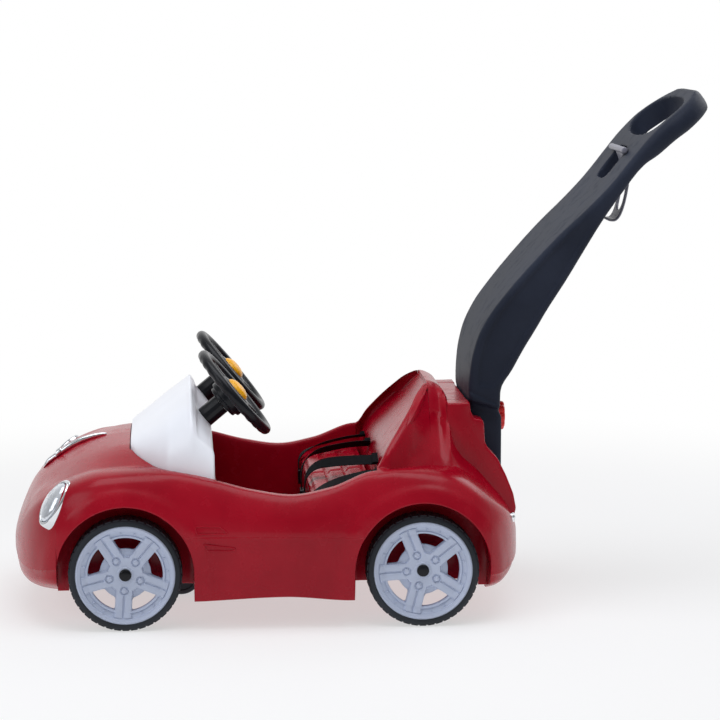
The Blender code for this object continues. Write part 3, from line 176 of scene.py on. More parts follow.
def lathe(outline, count, closed=False):
    """Turns (radius, along) points round the Y axis; an open outline starts and ends on it."""
    bm = bmesh.new()
    rings = []
    for r, y in outline:
        if r < 1e-6:
            rings.append([bm.verts.new((0, y, 0))] * count)
            continue
        rings.append([bm.verts.new((r * math.sin(a), y, -r * math.cos(a))) for a in turns(count)])
    for low, high in zip(rings, rings[1:] + rings[:1] if closed else rings[1:]):
        for i in range(count):
            corners = (low[i], low[i - 1], high[i - 1], high[i])
            corners = [v for k, v in enumerate(corners) if v not in corners[:k]]
            if len(corners) > 2:
                bm.faces.new(corners)
    bmesh.ops.recalc_face_normals(bm, faces=bm.faces)
    return bm


def moved(bm, x, y, z):
    bmesh.ops.translate(bm, verts=bm.verts, vec=(x, y, z))
    return bm


def turned(bm, angle, axis, cent=(0, 0, 0)):
    bmesh.ops.rotate(bm, cent=cent, matrix=Matrix.Rotation(angle, 3, axis), verts=bm.verts)
    return bm


def loose(bm, name="form"):
    """Holds a bmesh in an object of its own."""
    mesh = bpy.data.meshes.new(name)
    bm.to_mesh(mesh)
    bm.free()
    holder = bpy.data.objects.new(name, mesh)
    bpy.context.scene.collection.objects.link(holder)
    return holder


def applied(*holders):
    """The first object with its modifiers applied, as a bmesh; all of the objects go."""
    view = bpy.context.evaluated_depsgraph_get()
    mesh = bpy.data.meshes.new_from_object(holders[0].evaluated_get(view))
    bm = bmesh.new()
    bm.from_mesh(mesh)
    bpy.data.meshes.remove(mesh)
    for holder in holders:
        bpy.data.objects.remove(holder)
    return bm


def carved(bm, tools=(), unions=(), voxel=None, smoothing=0):
    """Cuts tools out of a form and joins others; a voxel remesh then melts the edges."""
    holders = [loose(part) for part in (bm, *tools, *unions)]
    form = holders[0]
    for k, tool in enumerate(holders[1:]):
        step = form.modifiers.new("cut", "BOOLEAN")
        step.solver = "EXACT"
        step.operation = "DIFFERENCE" if k < len(tools) else "UNION"
        step.object = tool
    if voxel:
        melt = form.modifiers.new("melt", "REMESH")
        melt.mode, melt.voxel_size = "VOXEL", voxel
        settle = form.modifiers.new("settle", "SMOOTH")
        settle.factor, settle.iterations = 0.5, smoothing
    return applied(*holders)


def mesh_object(name, bm, finish, body, stands_for=None, flat=40):
    """Keeps a bmesh, drawn from the front axle, as a finished piece that rides on a body."""
    piece = loose(moved(bm, AXLE_X, 0, 0), name)
    piece.data.materials.append(finish)
    piece.data.shade_smooth()
    piece.data.set_sharp_from_angle(angle=math.radians(flat))
    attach(piece, body)
    if stands_for:
        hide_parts(stands_for)
    return piece


print("lofts, lathes and cuts are ready")

# %% [markdown]
# ## A small language for node trees
#
# A moulded plastic is never one flat colour: its gloss wanders, its skin has a faint orange peel
# and the texture of the mould shows close up. Such finishes are sums and products of noises, so
# `Wire` wraps a socket and lets Python's own signs add the Math nodes. `Tree` makes any other
# node from its type, its inputs and its settings, and `Finish` is the tree of one material.

# %% Node helpers


class Wire:
    """A value that flows through a node tree."""

    def __init__(self, tree, socket):
        self.tree = tree
        self.socket = socket

    def out(self, label):
        """Another output of the same node."""
        return Wire(self.tree, self.socket.node.outputs[label])

    def math(self, operation, other=0.0):
        return self.tree.node("ShaderNodeMath", {0: self, 1: other}, operation=operation)

    def __add__(self, other):
        return self.math("ADD", other)

    def __sub__(self, other):
        return self.math("SUBTRACT", other)

    def __mul__(self, other):
        return self.math("MULTIPLY", other)

    __rmul__ = __mul__


class Tree:
    """A node tree whose inputs are fed by wires or set to constants."""

    def __init__(self, tree):
        self.tree = tree

    def node(self, kind, feeds=None, output=0, **settings):
        made = self.tree.nodes.new(kind)
        for label, value in settings.items():
            setattr(made, label, value)
        for key, value in (feeds or {}).items():
            self.feed(made.inputs[key], value)
        return Wire(self, made.outputs[output]) if made.outputs else None

    def feed(self, socket, value):
        if isinstance(value, Wire):
            self.tree.links.new(value.socket, socket)
        else:
            socket.default_value = value

    def ramp(self, value, low, high, dim=0.0, bright=1.0):
        """Rises softly from dim, below low, to bright, above high."""
        feeds = {"Value": value, "From Min": low, "From Max": high, "To Min": dim, "To Max": bright}
        return self.node("ShaderNodeMapRange", feeds, interpolation_type="SMOOTHSTEP")


class Finish(Tree):
    """A Principled material whose constant values are set on the shader's own sockets."""

    def __init__(self, name, **constants):
        self.material = bpy.data.materials.new(name)
        self.material.use_nodes = True
        super().__init__(self.material.node_tree)
        self.shader = self.tree.nodes["Principled BSDF"]
        for label, value in constants.items():
            self.shader.inputs[label.replace("_", " ")].default_value = value

    def noise(self, scale, detail=2.0, roughness=0.5):
        """Noise in the piece's own metres."""
        feeds = {"Vector": self.node("ShaderNodeTexCoord", output="Object"), "Scale": scale}
        feeds.update({"Detail": detail, "Roughness": roughness})
        return self.node("ShaderNodeTexNoise", feeds)

    def blend(self, share, first, second):
        """A colour between two others; 6 and 7 are the node's two colours."""
        feeds = {0: share, 6: (*first, 1), 7: (*second, 1)}
        return self.node("ShaderNodeMix", feeds, output=2, data_type="RGBA")

    def bump(self, height, distance):
        self.vary("Normal", self.node("ShaderNodeBump", {"Height": height, "Distance": distance}))

    def vary(self, label, value):
        self.feed(self.shader.inputs[label], value)


print("wires, trees and finishes are ready")

# %% [markdown]
# ## Moulded plastics
#
# The body, windshield, handle and wheels are polyethylene and polypropylene, coloured through.
# Two noises make each of them: a slow one that shifts the colour and the gloss a little, as
# uneven cooling does, and a fine one for the skin. Handling leaves the gloss duller in places,
# so a third noise lifts the roughness in soft patches.

# %% Plastic finishes
WEAR = 0.08
SLOW_SCALE, CLOUD_SCALE = 7.0, 38.0


def plastic(name, colour, roughness, peel, grain, spread=0.10, gleam=0.5):
    """A solid-coloured moulded plastic with an uneven gloss and a fine skin."""
    look = Finish(name, Specular_IOR_Level=gleam)
    slow = look.noise(SLOW_SCALE, 3.0)
    cloud = look.noise(CLOUD_SCALE, 4.0, 0.6)
    skin = look.noise(grain, 3.0, 0.55)
    light = tuple(min(c * (1 + spread) + 0.002, 1.0) for c in colour)
    dark = tuple(c * (1 - spread) for c in colour)
    look.vary("Base Color", look.blend(look.ramp(slow + 0.25 * cloud, 0.42, 0.82), dark, light))
    handled = look.ramp(cloud, 0.48, 0.72)
    look.vary("Roughness", handled * WEAR + (slow - 0.5) * 0.06 + roughness)
    look.bump(look.noise(grain * 0.16) + 0.12 * skin, peel)
    return look.material


RED = plastic("glossy_red_polyethylene", (0.33, 0.0005, 0.012), 0.24, 0.000006, 160, gleam=0.22)
WHITE = plastic("white_polyethylene", (0.87, 0.89, 0.95), 0.30, 0.000006, 160, 0.02)
CHARCOAL = plastic(
    "charcoal_polyethylene", (0.017, 0.022, 0.038), 0.52, 0.000008, 300, 0.14, 0.11
)
BLACK = plastic("black_polypropylene", (0.004, 0.005, 0.008), 0.28, 0.000008, 500, 0.2, 0.26)
TYRE = plastic("tyre_polyethylene", (0.010, 0.014, 0.021), 0.50, 0.00012, 700, 0.22, 0.35)
GREY = plastic("satin_grey_rim", (0.47, 0.53, 0.68), 0.38, 0.00003, 400, 0.05)
YELLOW = plastic("yellow_button", (0.97, 0.46, 0.0), 0.28, 0.000008, 400, 0.02)
KNOB_RED = plastic("bright_red_knob", (0.80, 0.006, 0.008), 0.34, 0.00006, 600, 0.08)
HOOK_GREY = plastic("grey_hook", (0.19, 0.19, 0.235), 0.38, 0.00005, 600, 0.06)
print("nine plastics mixed")

# %% [markdown]
# ## Metals, lens and webbing
#
# The chrome is a plated plastic trim, so it mirrors the room with a few smudges. The axles are
# drawn steel with a fine, even grain. Webbing is woven: its rows follow the strap, so the
# pattern reads the strap's own UV map.

# %% Metal, lens and webbing finishes


def metal(name, colour, roughness, smudge, scale):
    look = Finish(name, Metallic=1.0)
    haze = look.noise(scale, 4.0, 0.6)
    dim = tuple(c * 0.86 for c in colour)
    look.vary("Base Color", look.blend(look.ramp(haze, 0.35, 0.75), colour, dim))
    look.vary("Roughness", look.ramp(haze, 0.45, 0.75) * smudge + roughness)
    look.bump(look.noise(scale * 6, 2.0), 0.00004)
    return look.material


def lens_finish():
    look = Finish("fluted_clear_lens", IOR=1.5, Coat_Weight=1.0, Coat_Roughness=0.03)
    haze = look.noise(60.0, 3.0)
    look.vary("Base Color", look.blend(haze, (0.62, 0.66, 0.72), (0.80, 0.83, 0.88)))
    look.vary("Roughness", haze * 0.08 + 0.10)
    look.vary("Metallic", look.ramp(haze, 0.2, 0.8) * 0.2 + 0.55)
    return look.material


PICKS, RIBS = 3900.0, 2600.0  # threads across and along a strap, in radians a metre


def webbing_finish():
    """A flat weave: rows across the strap and ribs along it, in the strap's UV metres."""
    look = Finish("black_webbing", Specular_IOR_Level=0.12)
    split = look.node("ShaderNodeSeparateXYZ", {0: look.node("ShaderNodeUVMap", uv_map="strap")})
    pick = (split * PICKS).math("SINE")
    rib = (split.out(1) * RIBS + pick * 0.6).math("SINE")
    fuzz = look.noise(900.0, 3.0)
    weave = pick * rib * 0.5 + 0.5
    look.vary("Base Color", look.blend(weave * fuzz, (0.003, 0.003, 0.004), (0.014, 0.014, 0.018)))
    look.vary("Roughness", fuzz * 0.2 + 0.68)
    look.bump(weave + fuzz * 0.4, 0.0003)
    return look.material


CHROME = metal("plated_chrome", (0.83, 0.85, 0.88), 0.05, 0.12, 30.0)
STEEL = metal("drawn_steel", (0.55, 0.55, 0.57), 0.26, 0.20, 160.0)
LENS = lens_finish()
WEB = webbing_finish()
print("metals, lens and webbing mixed")

# %% [markdown]
# ## Finishes on the frame's own pieces
#
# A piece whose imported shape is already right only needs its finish. Each name starts with a
# word that says what it is, so a short table is enough.

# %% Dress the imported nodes
FINISHES = {
    "axle_spacer": BLACK,
    "axle": STEEL,
    "bag_hook": HOOK_GREY,
    "belt": WEB,
    "body_shell": RED,
    "buckle": BLACK,
    "caster_axle": STEEL,
    "caster_wheel": TYRE,
    "caster": BLACK,
    "handle_bolt": STEEL,
    "handle_knob": KNOB_RED,
    "handle_pin": STEEL,
    "headlight_base": CHROME,
    "headlight_lens": LENS,
    "hood_spear": CHROME,
    "horn_button": YELLOW,
    "push_handle": CHARCOAL,
    "seat_bench": RED,
    "shaft_clip": STEEL,
    "steering_shaft": STEEL,
    "steering": BLACK,
    "tail_light": CHROME,
    "tongue": BLACK,
    "tyre": TYRE,
    "wheel_cap": BLACK,
    "wheel_rim": GREY,
    "windshield_dash": WHITE,
}
for name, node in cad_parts.items():
    fits = [word for word in FINISHES if name.startswith(word)]
    finish = FINISHES[max(fits, key=len)]
    for slot in node.material_slots:
        slot.material = finish
    if not node.material_slots:
        node.data.materials.append(finish)
print("dressed", len(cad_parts), "nodes")

# %% [markdown]
# ## The body shell, drawn by its lines
#
# The body is one hollow moulding of red polyethylene. Cutting wheel arches and a cabin out of a
# plain block with Booleans would leave knife edges and ragged shading. Instead, the body is
# lofted from about two hundred cross-sections. Every section has the same number of points,
# spent where the form turns, and walks from the middle of the underside round the sill, over the
# fender and down into the cabin. Each corner on the way is rounded as a mould rounds it.
#
# All lengths along the car are measured from the front axle, as a car's designer does it.

# %% Body sizes
BODY_HALF = 0.310
NOSE_X = -0.205
NOSE_Z = 0.117
NOSE_TAPER = 0.190
TAIL_X = WHEELBASE + 0.195
TAIL_TAPER = 0.150
BELT_STEP = 0.0045
BUMPER_STEP = 0.0045
BELT_HEIGHT = 0.166
SKIRT_Z = 0.050
PAN_Z = 0.070
PAN_HALF = 0.280
PAN_FRONT, PAN_REAR = -0.100, WHEELBASE + 0.105
HOOD_Z = 0.310
FENDER_Z = 0.272
SILL_Z = 0.234
WING_Z = 0.406
DECK_Z = 0.376
ARCH_RADIUS = 0.120
ARCH_CENTRE_Z = 0.102
WELL_WALL = 0.228
FLOOR_Z = 0.105
CABIN_HALF = 0.262
CABIN_FRONT = 0.160
SEAT_FRONT = 0.332
SEAT_REAR = 0.443
SEAT_LEDGE = 0.2065
SCREEN_FRONT, SCREEN_REAR = 0.010, 0.158
SCREEN_BED = 0.255
BED_FRONT = 0.008
TUNNEL_FRONT, TUNNEL_HALF, TUNNEL_Z = 0.045, 0.155, 0.125
CHANNEL_FRONT = 0.6185
ARCHES = (0.0, WHEELBASE)
CASTER_X = 0.070
CASTER_POCKET = 0.071
CASTER_ROOF = 0.0885
WING_END = 0.5475
SKIN_COUNTS = (9, 5, 9, 7, 9, 6)
FOOT_REACH = 0.006
CUT_REACH = 0.012
VALLEY_DEPTH = 0.0035
FRONT_BUMPER, REAR_BUMPER = (0.62, 0.58, -1), (0.72, 0.42, 1)
ARCH_LIP, FLARE_RISE, BAND_DEPTH = 0.0035, 0.0032, 0.0042
FLARE_REACH, FLARE_HEIGHT = (-0.02, -0.001, 0.0225, 0.0330), (0.045, 0.085, 0.30, 0.34)
BAND_ALONG, BAND_BELOW = (0.480, 0.492, 0.562, 0.576), (-0.001, 0.006, 0.2, 0.3)
BAND_ABOVE = (0.003, 0.011, 0.2, 0.3)
VALLEYS = ((-0.150, -0.110, 0.090, 0.135), (0.455, 0.475, 0.60, 0.66))
FLAT = (0.001,) * 4
STEP = 0.0002
print("the body is", round(TAIL_X - NOSE_X, 3), "m long and", 2 * BODY_HALF, "m wide")

# %% Lines along the car
bottom_line = curve(
    (NOSE_X, 0.113), (NOSE_X + 0.004, 0.090), (NOSE_X + 0.015, 0.065),
    (NOSE_X + 0.035, 0.054), (NOSE_X + 0.060, 0.051), (0.10, SKIRT_Z),
    (0.28, SKIRT_Z + 0.006), (0.40, SKIRT_Z - 0.002), (TAIL_X - 0.060, SKIRT_Z),
    (TAIL_X - 0.028, SKIRT_Z + 0.014), (TAIL_X - 0.009, 0.082), (TAIL_X, 0.115),
)
belt_line = curve(
    (NOSE_X, NOSE_Z), (NOSE_X + 0.02, NOSE_Z + 0.004), (-0.12, BELT_HEIGHT - 0.016),
    (0.11, BELT_HEIGHT + 0.003), (0.42, BELT_HEIGHT - 0.002), (0.60, BELT_HEIGHT - 0.016),
    (TAIL_X - 0.015, 0.128), (TAIL_X, 0.118),
)
shoulder_line = curve(
    (NOSE_X, NOSE_Z + 0.003), (NOSE_X + 0.005, 0.136), (NOSE_X + 0.015, 0.160),
    (NOSE_X + 0.035, 0.195), (NOSE_X + 0.060, 0.222), (-0.10, FENDER_Z - 0.024),
    (-0.03, FENDER_Z - 0.006), (0.05, FENDER_Z), (0.11, FENDER_Z - 0.002),
    (0.155, FENDER_Z - 0.011), (0.224, SILL_Z + 0.0095), (0.293, SILL_Z),
    (0.359, SILL_Z + 0.011), (0.43, FENDER_Z - 0.004), (0.50, FENDER_Z),
    (0.55, FENDER_Z - 0.004), (0.60, FENDER_Z - 0.024), (0.645, 0.217),
    (TAIL_X - 0.033, 0.185), (TAIL_X - 0.014, 0.155), (TAIL_X - 0.004, 0.132), (TAIL_X, 0.120),
)
crease_line = curve(
    (NOSE_X, NOSE_Z + 0.004), (NOSE_X + 0.005, 0.140), (NOSE_X + 0.015, 0.168),
    (NOSE_X + 0.035, 0.206), (NOSE_X + 0.055, 0.230), (-0.10, FENDER_Z - 0.012),
    (-0.044, FENDER_Z + 0.007), (0.036, FENDER_Z + 0.011), (0.155, FENDER_Z - 0.008),
    (0.224, SILL_Z + 0.012), (0.293, SILL_Z + 0.002), (0.359, SILL_Z + 0.014),
    (0.443, FENDER_Z + 0.006), (0.52, FENDER_Z + 0.006), (0.58, FENDER_Z),
    (0.62, FENDER_Z - 0.022), (0.66, 0.212), (TAIL_X - 0.024, 0.176),
    (TAIL_X - 0.008, 0.148), (TAIL_X, 0.121),
)
edge_line = curve(
    (NOSE_X, NOSE_Z + 0.005), (NOSE_X + 0.004, 0.143), (NOSE_X + 0.014, 0.172),
    (NOSE_X + 0.035, 0.212), (NOSE_X + 0.055, 0.231), (-0.11, HOOD_Z - 0.051),
    (-0.072, HOOD_Z - 0.029), (-0.030, HOOD_Z - 0.015), (0.008, HOOD_Z - 0.009),
    (0.05, HOOD_Z - 0.008),
    (0.155, FENDER_Z - 0.004), (0.224, SILL_Z + 0.013), (0.293, SILL_Z + 0.003),
    (0.359, SILL_Z + 0.015), (0.443, 0.281), (0.46, 0.310), (0.484, 0.342), (0.51, 0.373),
    (0.53, WING_Z - 0.011), (0.548, WING_Z), (0.568, WING_Z - 0.007), (0.583, DECK_Z + 0.002),
    (0.587, 0.343), (0.593, 0.317), (0.606, 0.291), (0.630, 0.267), (0.660, 0.231),
    (TAIL_X - 0.023, 0.184), (TAIL_X - 0.008, 0.151), (TAIL_X, 0.122),
)
crown_line = curve(
    (NOSE_X, NOSE_Z + 0.006), (NOSE_X + 0.004, 0.145), (NOSE_X + 0.014, 0.175),
    (NOSE_X + 0.035, 0.219), (NOSE_X + 0.055, 0.243), (-0.11, HOOD_Z - 0.038),
    (-0.083, HOOD_Z - 0.023), (-0.037, HOOD_Z - 0.009), (0.008, HOOD_Z - 0.003),
    (0.05, HOOD_Z), (0.155, FENDER_Z),
    (0.293, SILL_Z + 0.004), (0.443, 0.282), (0.484, 0.343), (0.51, 0.374),
    (0.53, WING_Z - 0.011), (0.548, WING_Z), (0.568, WING_Z - 0.007), (0.583, DECK_Z + 0.002),
    (0.587, 0.344), (0.593, 0.318), (0.606, 0.292), (0.630, 0.268), (0.660, 0.232),
    (TAIL_X - 0.023, 0.185), (TAIL_X - 0.008, 0.152), (TAIL_X, 0.123),
)
print("lines seen from the side run from", NOSE_X, "to", round(TAIL_X, 3))

# %% Half widths seen from above and from the front
crease_half = curve(
    (NOSE_X + 0.035, 0.142), (NOSE_X + 0.055, 0.161), (-0.12, 0.184), (-0.09, 0.202),
    (-0.04, 0.216), (0.036, 0.217), (0.08, 0.240),
    (0.16, CABIN_HALF - 0.006), (0.443, CABIN_HALF), (0.50, 0.232), (0.56, 0.205),
    (0.62, 0.190), (TAIL_X, 0.180),
)
edge_half = curve(
    (NOSE_X + 0.035, 0.098), (-0.12, 0.130), (0.036, 0.145), (0.16, 0.230),
    (0.443, CABIN_HALF - 0.003), (0.46, 0.248), (0.484, 0.222), (0.51, 0.180),
    (0.53, 0.131), (0.548, 0.094), (0.566, 0.088), (0.583, 0.125), (TAIL_X, 0.130),
)
seat_back_z = curve(
    (0.443, 0.190), (0.450, 0.24), (0.468, 0.28), (0.498, 0.32), (0.528, 0.36),
    (0.5475, 0.396), (0.590, 0.46),
)
wing_inside = curve(
    (0.2065, CABIN_HALF), (0.255, CABIN_HALF), (0.281, 0.247), (0.31, 0.229),
    (0.342, 0.200), (0.373, 0.157), (0.395, 0.109), (0.412, 0.073), (0.46, 0.067),
)
wing_crease = curve((0.484, 0.267), (0.515, 0.312), (0.556, 0.358), (0.572, 0.388))
screen_foot_half = curve(
    (SCREEN_FRONT, 0.140), (0.017, 0.163), (0.027, 0.181), (0.042, 0.203), (0.059, 0.226),
    (0.080, 0.246), (SCREEN_REAR, CABIN_HALF - 0.0005),
)
print("half widths are drawn")

# %% The skin of one section


def half_width(x):
    """Half the body's width: straight sides, with a rounded nose and tail."""
    nose = (NOSE_X + NOSE_TAPER - x) / NOSE_TAPER
    tail = (x - TAIL_X + TAIL_TAPER) / TAIL_TAPER
    round_in = max(nose, tail, 0.0)
    return BODY_HALF * math.sqrt(max(1 - round_in**3, 0.0))


def foot_controls(x, w, low, belt):
    """The skirt and the step above it: the bumpers' at the ends, the doors' between."""
    share = w / BODY_HALF
    if x < -ARCH_RADIUS or x > WHEELBASE + ARCH_RADIUS:
        tuck, rise, toward = FRONT_BUMPER if x < 0 else REAR_BUMPER
        lip = low + rise * (belt - low)
        inner = max(half_width(x + toward * BUMPER_STEP) - 0.7 * BUMPER_STEP * share, 0.6 * w)
        foot = min(tuck * w, 0.93 * inner)
        return [(foot, low), (foot + 0.03 * w, low + 0.004 * share),
                (0.985 * inner, low + 0.5 * (lip - low)),
                (inner, lip - 0.003 * share), (inner, lip - 0.002 * share),
                (w, lip + 0.001 * share), (w, lip + 0.002 * share)]
    fade = min(max((x - 0.06) / 0.06, 0), max((0.46 - x) / 0.05, 0), 1)
    inner = w - BELT_STEP * fade
    return [(0.935 * w, low), (0.968 * w, low + 0.004 * share),
            (inner - 0.016 * w, 0.5 * (low + belt)),
            (inner, belt - 0.004 * share), (inner, belt - 0.003 * share),
            (w, belt + 0.001 * share), (w, belt + 0.002 * share)]


def skin_controls(x):
    """The side and top of the body at x, as the corners of a coarse outline."""
    w = half_width(x)
    low, belt, top = bottom_line(x), belt_line(x), shoulder_line(x)
    crease = min(crease_half(x), 0.82 * w)
    edge = min(edge_half(x), 0.97 * crease, 0.6 * w if x < 0 or x > 0.6 else 1)
    dip = VALLEY_DEPTH * sum(soft_gate(x, *gate) for gate in VALLEYS)
    crease_z = crease_line(x) - dip
    return foot_controls(x, w, low, belt) + [
        (0.985 * w, 0.5 * (belt + top)),
        (0.925 * w, top),
        (0.52 * 0.925 * w + 0.48 * crease, 0.45 * top + 0.55 * crease_line(x) + dip),
        (crease, crease_z),
        (crease - 0.001, crease_z),
        (edge, edge_line(x)),
        (0.55 * edge, 0.4 * edge_line(x) + 0.6 * crown_line(x)),
        (0.0, crown_line(x)),
    ]


class Skin:
    """The outer line of one section, read by its length from the sill."""

    def __init__(self, x):
        controls = skin_controls(x)
        line = np.array(rounded(controls, 3))
        self.y, self.z = line[:, 0], line[:, 1]
        steps = np.hypot(np.diff(self.y), np.diff(self.z))
        self.s = np.concatenate([[0.0], np.cumsum(steps)])
        self.marks = [self.nearest(controls[k]) for k in (3, 6, 8, 10, 12)]

    def nearest(self, spot):
        return self.s[int(np.argmin(np.hypot(self.y - spot[0], self.z - spot[1])))]

    def at(self, s):
        return np.array((np.interp(s, self.s, self.y), np.interp(s, self.s, self.z)))

    def rise_to(self, z):
        """Where the side first reaches a height."""
        return float(np.interp(z, self.z[:70], self.s[:70]))

    def cut_at(self, y):
        """Where the top comes in to a half width."""
        turned_in = slice(int(np.argmax(self.y)), None)
        return float(np.interp(-y, -self.y[turned_in], self.s[turned_in]))

    def top(self, y):
        return float(np.interp(self.cut_at(y), self.s, self.z))


print("a section's skin over the rear axle is", round(Skin(WHEELBASE).s[-1], 3), "m long")

# %% Paths with soft corners


def bend(before, here, after, soft, most, count):
    """A corner rounded by a parabola that takes at most a share of either arm."""
    ends = []
    for other in (before, after):
        arm = other - here
        ends.append(here + arm * min(soft / max(float(np.hypot(*arm)), 1e-9), most))
    t = np.linspace(0, 1, count)[:, None]
    return list((1 - t) ** 2 * ends[0] + 2 * t * (1 - t) * here + t**2 * ends[1])


def soft_path(knots, radii, counts):
    """A line through knots with each inner corner rounded; every path has as many points."""
    knots = [np.asarray(k, float) for k in knots]
    path = [knots[0]]
    for i in range(1, len(knots)):
        turn = [knots[i]]
        if i < len(knots) - 1:
            turn = bend(*knots[i - 1:i + 2], radii[i - 1], 0.5, 5)
        share = np.linspace(0, 1, counts[i - 1] + 2)[1:-1, None]
        path += list(path[-1] + share * (turn[0] - path[-1])) + turn
    return path


print("paths are ready")

# %% One section of the body


def arch_at(x):
    """The height of a wheel arch over x, or None beside the arches."""
    for centre in ARCHES:
        if abs(x - centre) < ARCH_RADIUS:
            return ARCH_CENTRE_Z + math.sqrt(ARCH_RADIUS**2 - (x - centre) ** 2)
    return None


def lip_inset(x, z):
    """How far the skin curls in beside the straight legs of an arch."""
    reach = min(abs(x - c) for c in ARCHES) - ARCH_RADIUS
    if z > ARCH_CENTRE_Z or not 0 <= reach < ARCH_LIP:
        return 0.0
    return ARCH_LIP * quarter_round(reach / ARCH_LIP)


def skin_relief(x, y, z):
    """How far a point of the skin moves out: arch lips, their flares and the wing's band."""
    if y < 0.12:
        return 0.0
    reach = min(math.hypot(x - c, max(z - ARCH_CENTRE_Z, 0)) for c in ARCHES) - ARCH_RADIUS
    flare = FLARE_RISE * soft_gate(reach, *FLARE_REACH) * min((y - 0.12) / 0.1, 1)
    flare *= soft_gate(z, *FLARE_HEIGHT)
    band = soft_gate(wing_crease(x) - z, *BAND_BELOW) * soft_gate(x, *BAND_ALONG)
    band *= soft_gate(z - crease_line(x), *BAND_ABOVE)
    return flare - BAND_DEPTH * band - lip_inset(x, z) * (y > 0.2)


def underside(x):
    """Knots from the middle of the underside to the foot of the skin."""
    low, w = bottom_line(x), half_width(x)
    pocket = CASTER_POCKET**2 - (x - CASTER_X) ** 2
    arch = arch_at(x)
    over_pan = PAN_FRONT < x < PAN_REAR
    if arch is None and not over_pan:
        return [(0, low), (0.004, low), (0.008, low), (0.54 * w, low), (0.58 * w, low)]
    floor = PAN_Z if over_pan else low + 0.009
    inner = math.sqrt(pocket) if pocket > 0 else 0.004
    roof = CASTER_ROOF if pocket > 0 else floor
    wall = WELL_WALL if arch else PAN_HALF
    foot = arch or low + 0.0005
    return [(0, roof), (inner, roof), (inner + 0.001, floor), (wall, floor), (wall, foot)]


print("the rear arch tops out at z", round(arch_at(WHEELBASE), 3))

# %% How the top is cut open


def opening(x, skin):
    """How the top is cut open: knots after the cut, corner radii, and what the line follows."""
    if x < BED_FRONT:
        y = min(0.150, 0.55 * half_width(x))
        return [(y * v, 0.0) for v in (1.0, 0.97, 0.72, 0.69, 0.0)], FLAT, "skin"
    if x < CABIN_FRONT:
        y = screen_foot_half(x) + 0.001
        deep = TUNNEL_Z if x > TUNNEL_FRONT else SCREEN_BED
        knots = [(y, 0), (y, SCREEN_BED), (TUNNEL_HALF, SCREEN_BED), (TUNNEL_HALF - 0.001, deep)]
        return knots + [(0.0, deep)], (0.002, 0.001, 0.003, 0.003), None
    if x < SEAT_FRONT:
        y = CABIN_HALF
        knots = [(y, 0), (y - 0.003, FLOOR_Z), (0.16, FLOOR_Z), (0.15, FLOOR_Z), (0.0, FLOOR_Z)]
        return knots, (0.008, 0.014, 0.001, 0.001), None
    if x < SEAT_REAR:
        y = CABIN_HALF
        knots = [(y, 0), (y, SEAT_LEDGE), (0.16, SEAT_LEDGE), (0.15, SEAT_LEDGE)]
        return knots + [(0.0, SEAT_LEDGE)], (0.008, 0.003, 0.001, 0.001), None
    if x < WING_END:
        back = min(seat_back_z(x), edge_line(x) - 0.004)
        y = wing_inside(edge_line(x))
        foot = max(wing_inside(back), y + 0.001)
        knots = [(y, 0), (foot, back), (0.07, back), (0.06, back), (0.0, back)]
        return knots, (0.006, 0.042, 0.001, 0.001), "wing"
    if x < CHANNEL_FRONT:
        return [(v, 0.0) for v in (0.126, 0.122, 0.108, 0.104, 0.0)], FLAT, "skin"
    y = min(0.125, 0.9 * half_width(x))
    deep = min(0.200, skin.top(y) - 0.002)
    knots = [(y, 0), (y - 0.001, deep), (0.7 * y, deep), (0.6 * y, deep), (0.0, deep)]
    return knots, FLAT, None


print("the cabin's floor is at z", opening(0.2, None)[0][1][1])

# %% Half of a section, from below to the top


def half_ring(x):
    """Half of the section at x, from the middle of the underside to the middle of the top."""
    skin = Skin(x)
    arch = arch_at(x)
    start = 0.0 if arch is None else skin.rise_to(arch)
    knots, corners, follow = opening(x, skin)
    stop = skin.cut_at(knots[0][0])
    scale = min((stop - start) / 0.15, 1.0)
    foot, cut = start + FOOT_REACH * scale, stop - CUT_REACH * scale
    path = underside(x) + [skin.at(start), skin.at(foot)]
    radii = [r * scale for r in (0.002, 0.002, 0.003, 0.003, 0.003)]
    ring = soft_path(path, radii, (3, 1, 6, 2, 1, 0))
    marks = [foot]
    for k, mark in enumerate(skin.marks):
        ahead, behind = 0.0016 * scale, 0.0012 * scale * (5 - k)
        marks.append(min(max(mark, marks[-1] + ahead), cut - behind))
    marks.append(cut)
    for a, b, count in zip(marks, marks[1:], SKIN_COUNTS):
        ring += [skin.at(s) for s in np.linspace(a, b, count + 1)[1:]]
    ring = [np.array((y + skin_relief(x, y, z), z)) for y, z in ring]
    knots[0] = skin.at(stop)
    top = soft_path([ring[-1]] + knots, corners, (0, 9, 5, 3, 8))[1:]
    if follow == "skin":
        top = [np.array((y, skin.top(y))) for y, z in top]
    if follow == "wing":
        foot_z = knots[1][1]
        inner = [max(y, wing_inside(z)) if z > foot_z + 0.012 else y for y, z in top]
        top = [np.array((y if k < 5 else v, z)) for k, ((y, z), v) in enumerate(zip(top, inner))]
    return ring + top


print("half a section has", len(half_ring(0.25)), "points")

# %% Loft the body


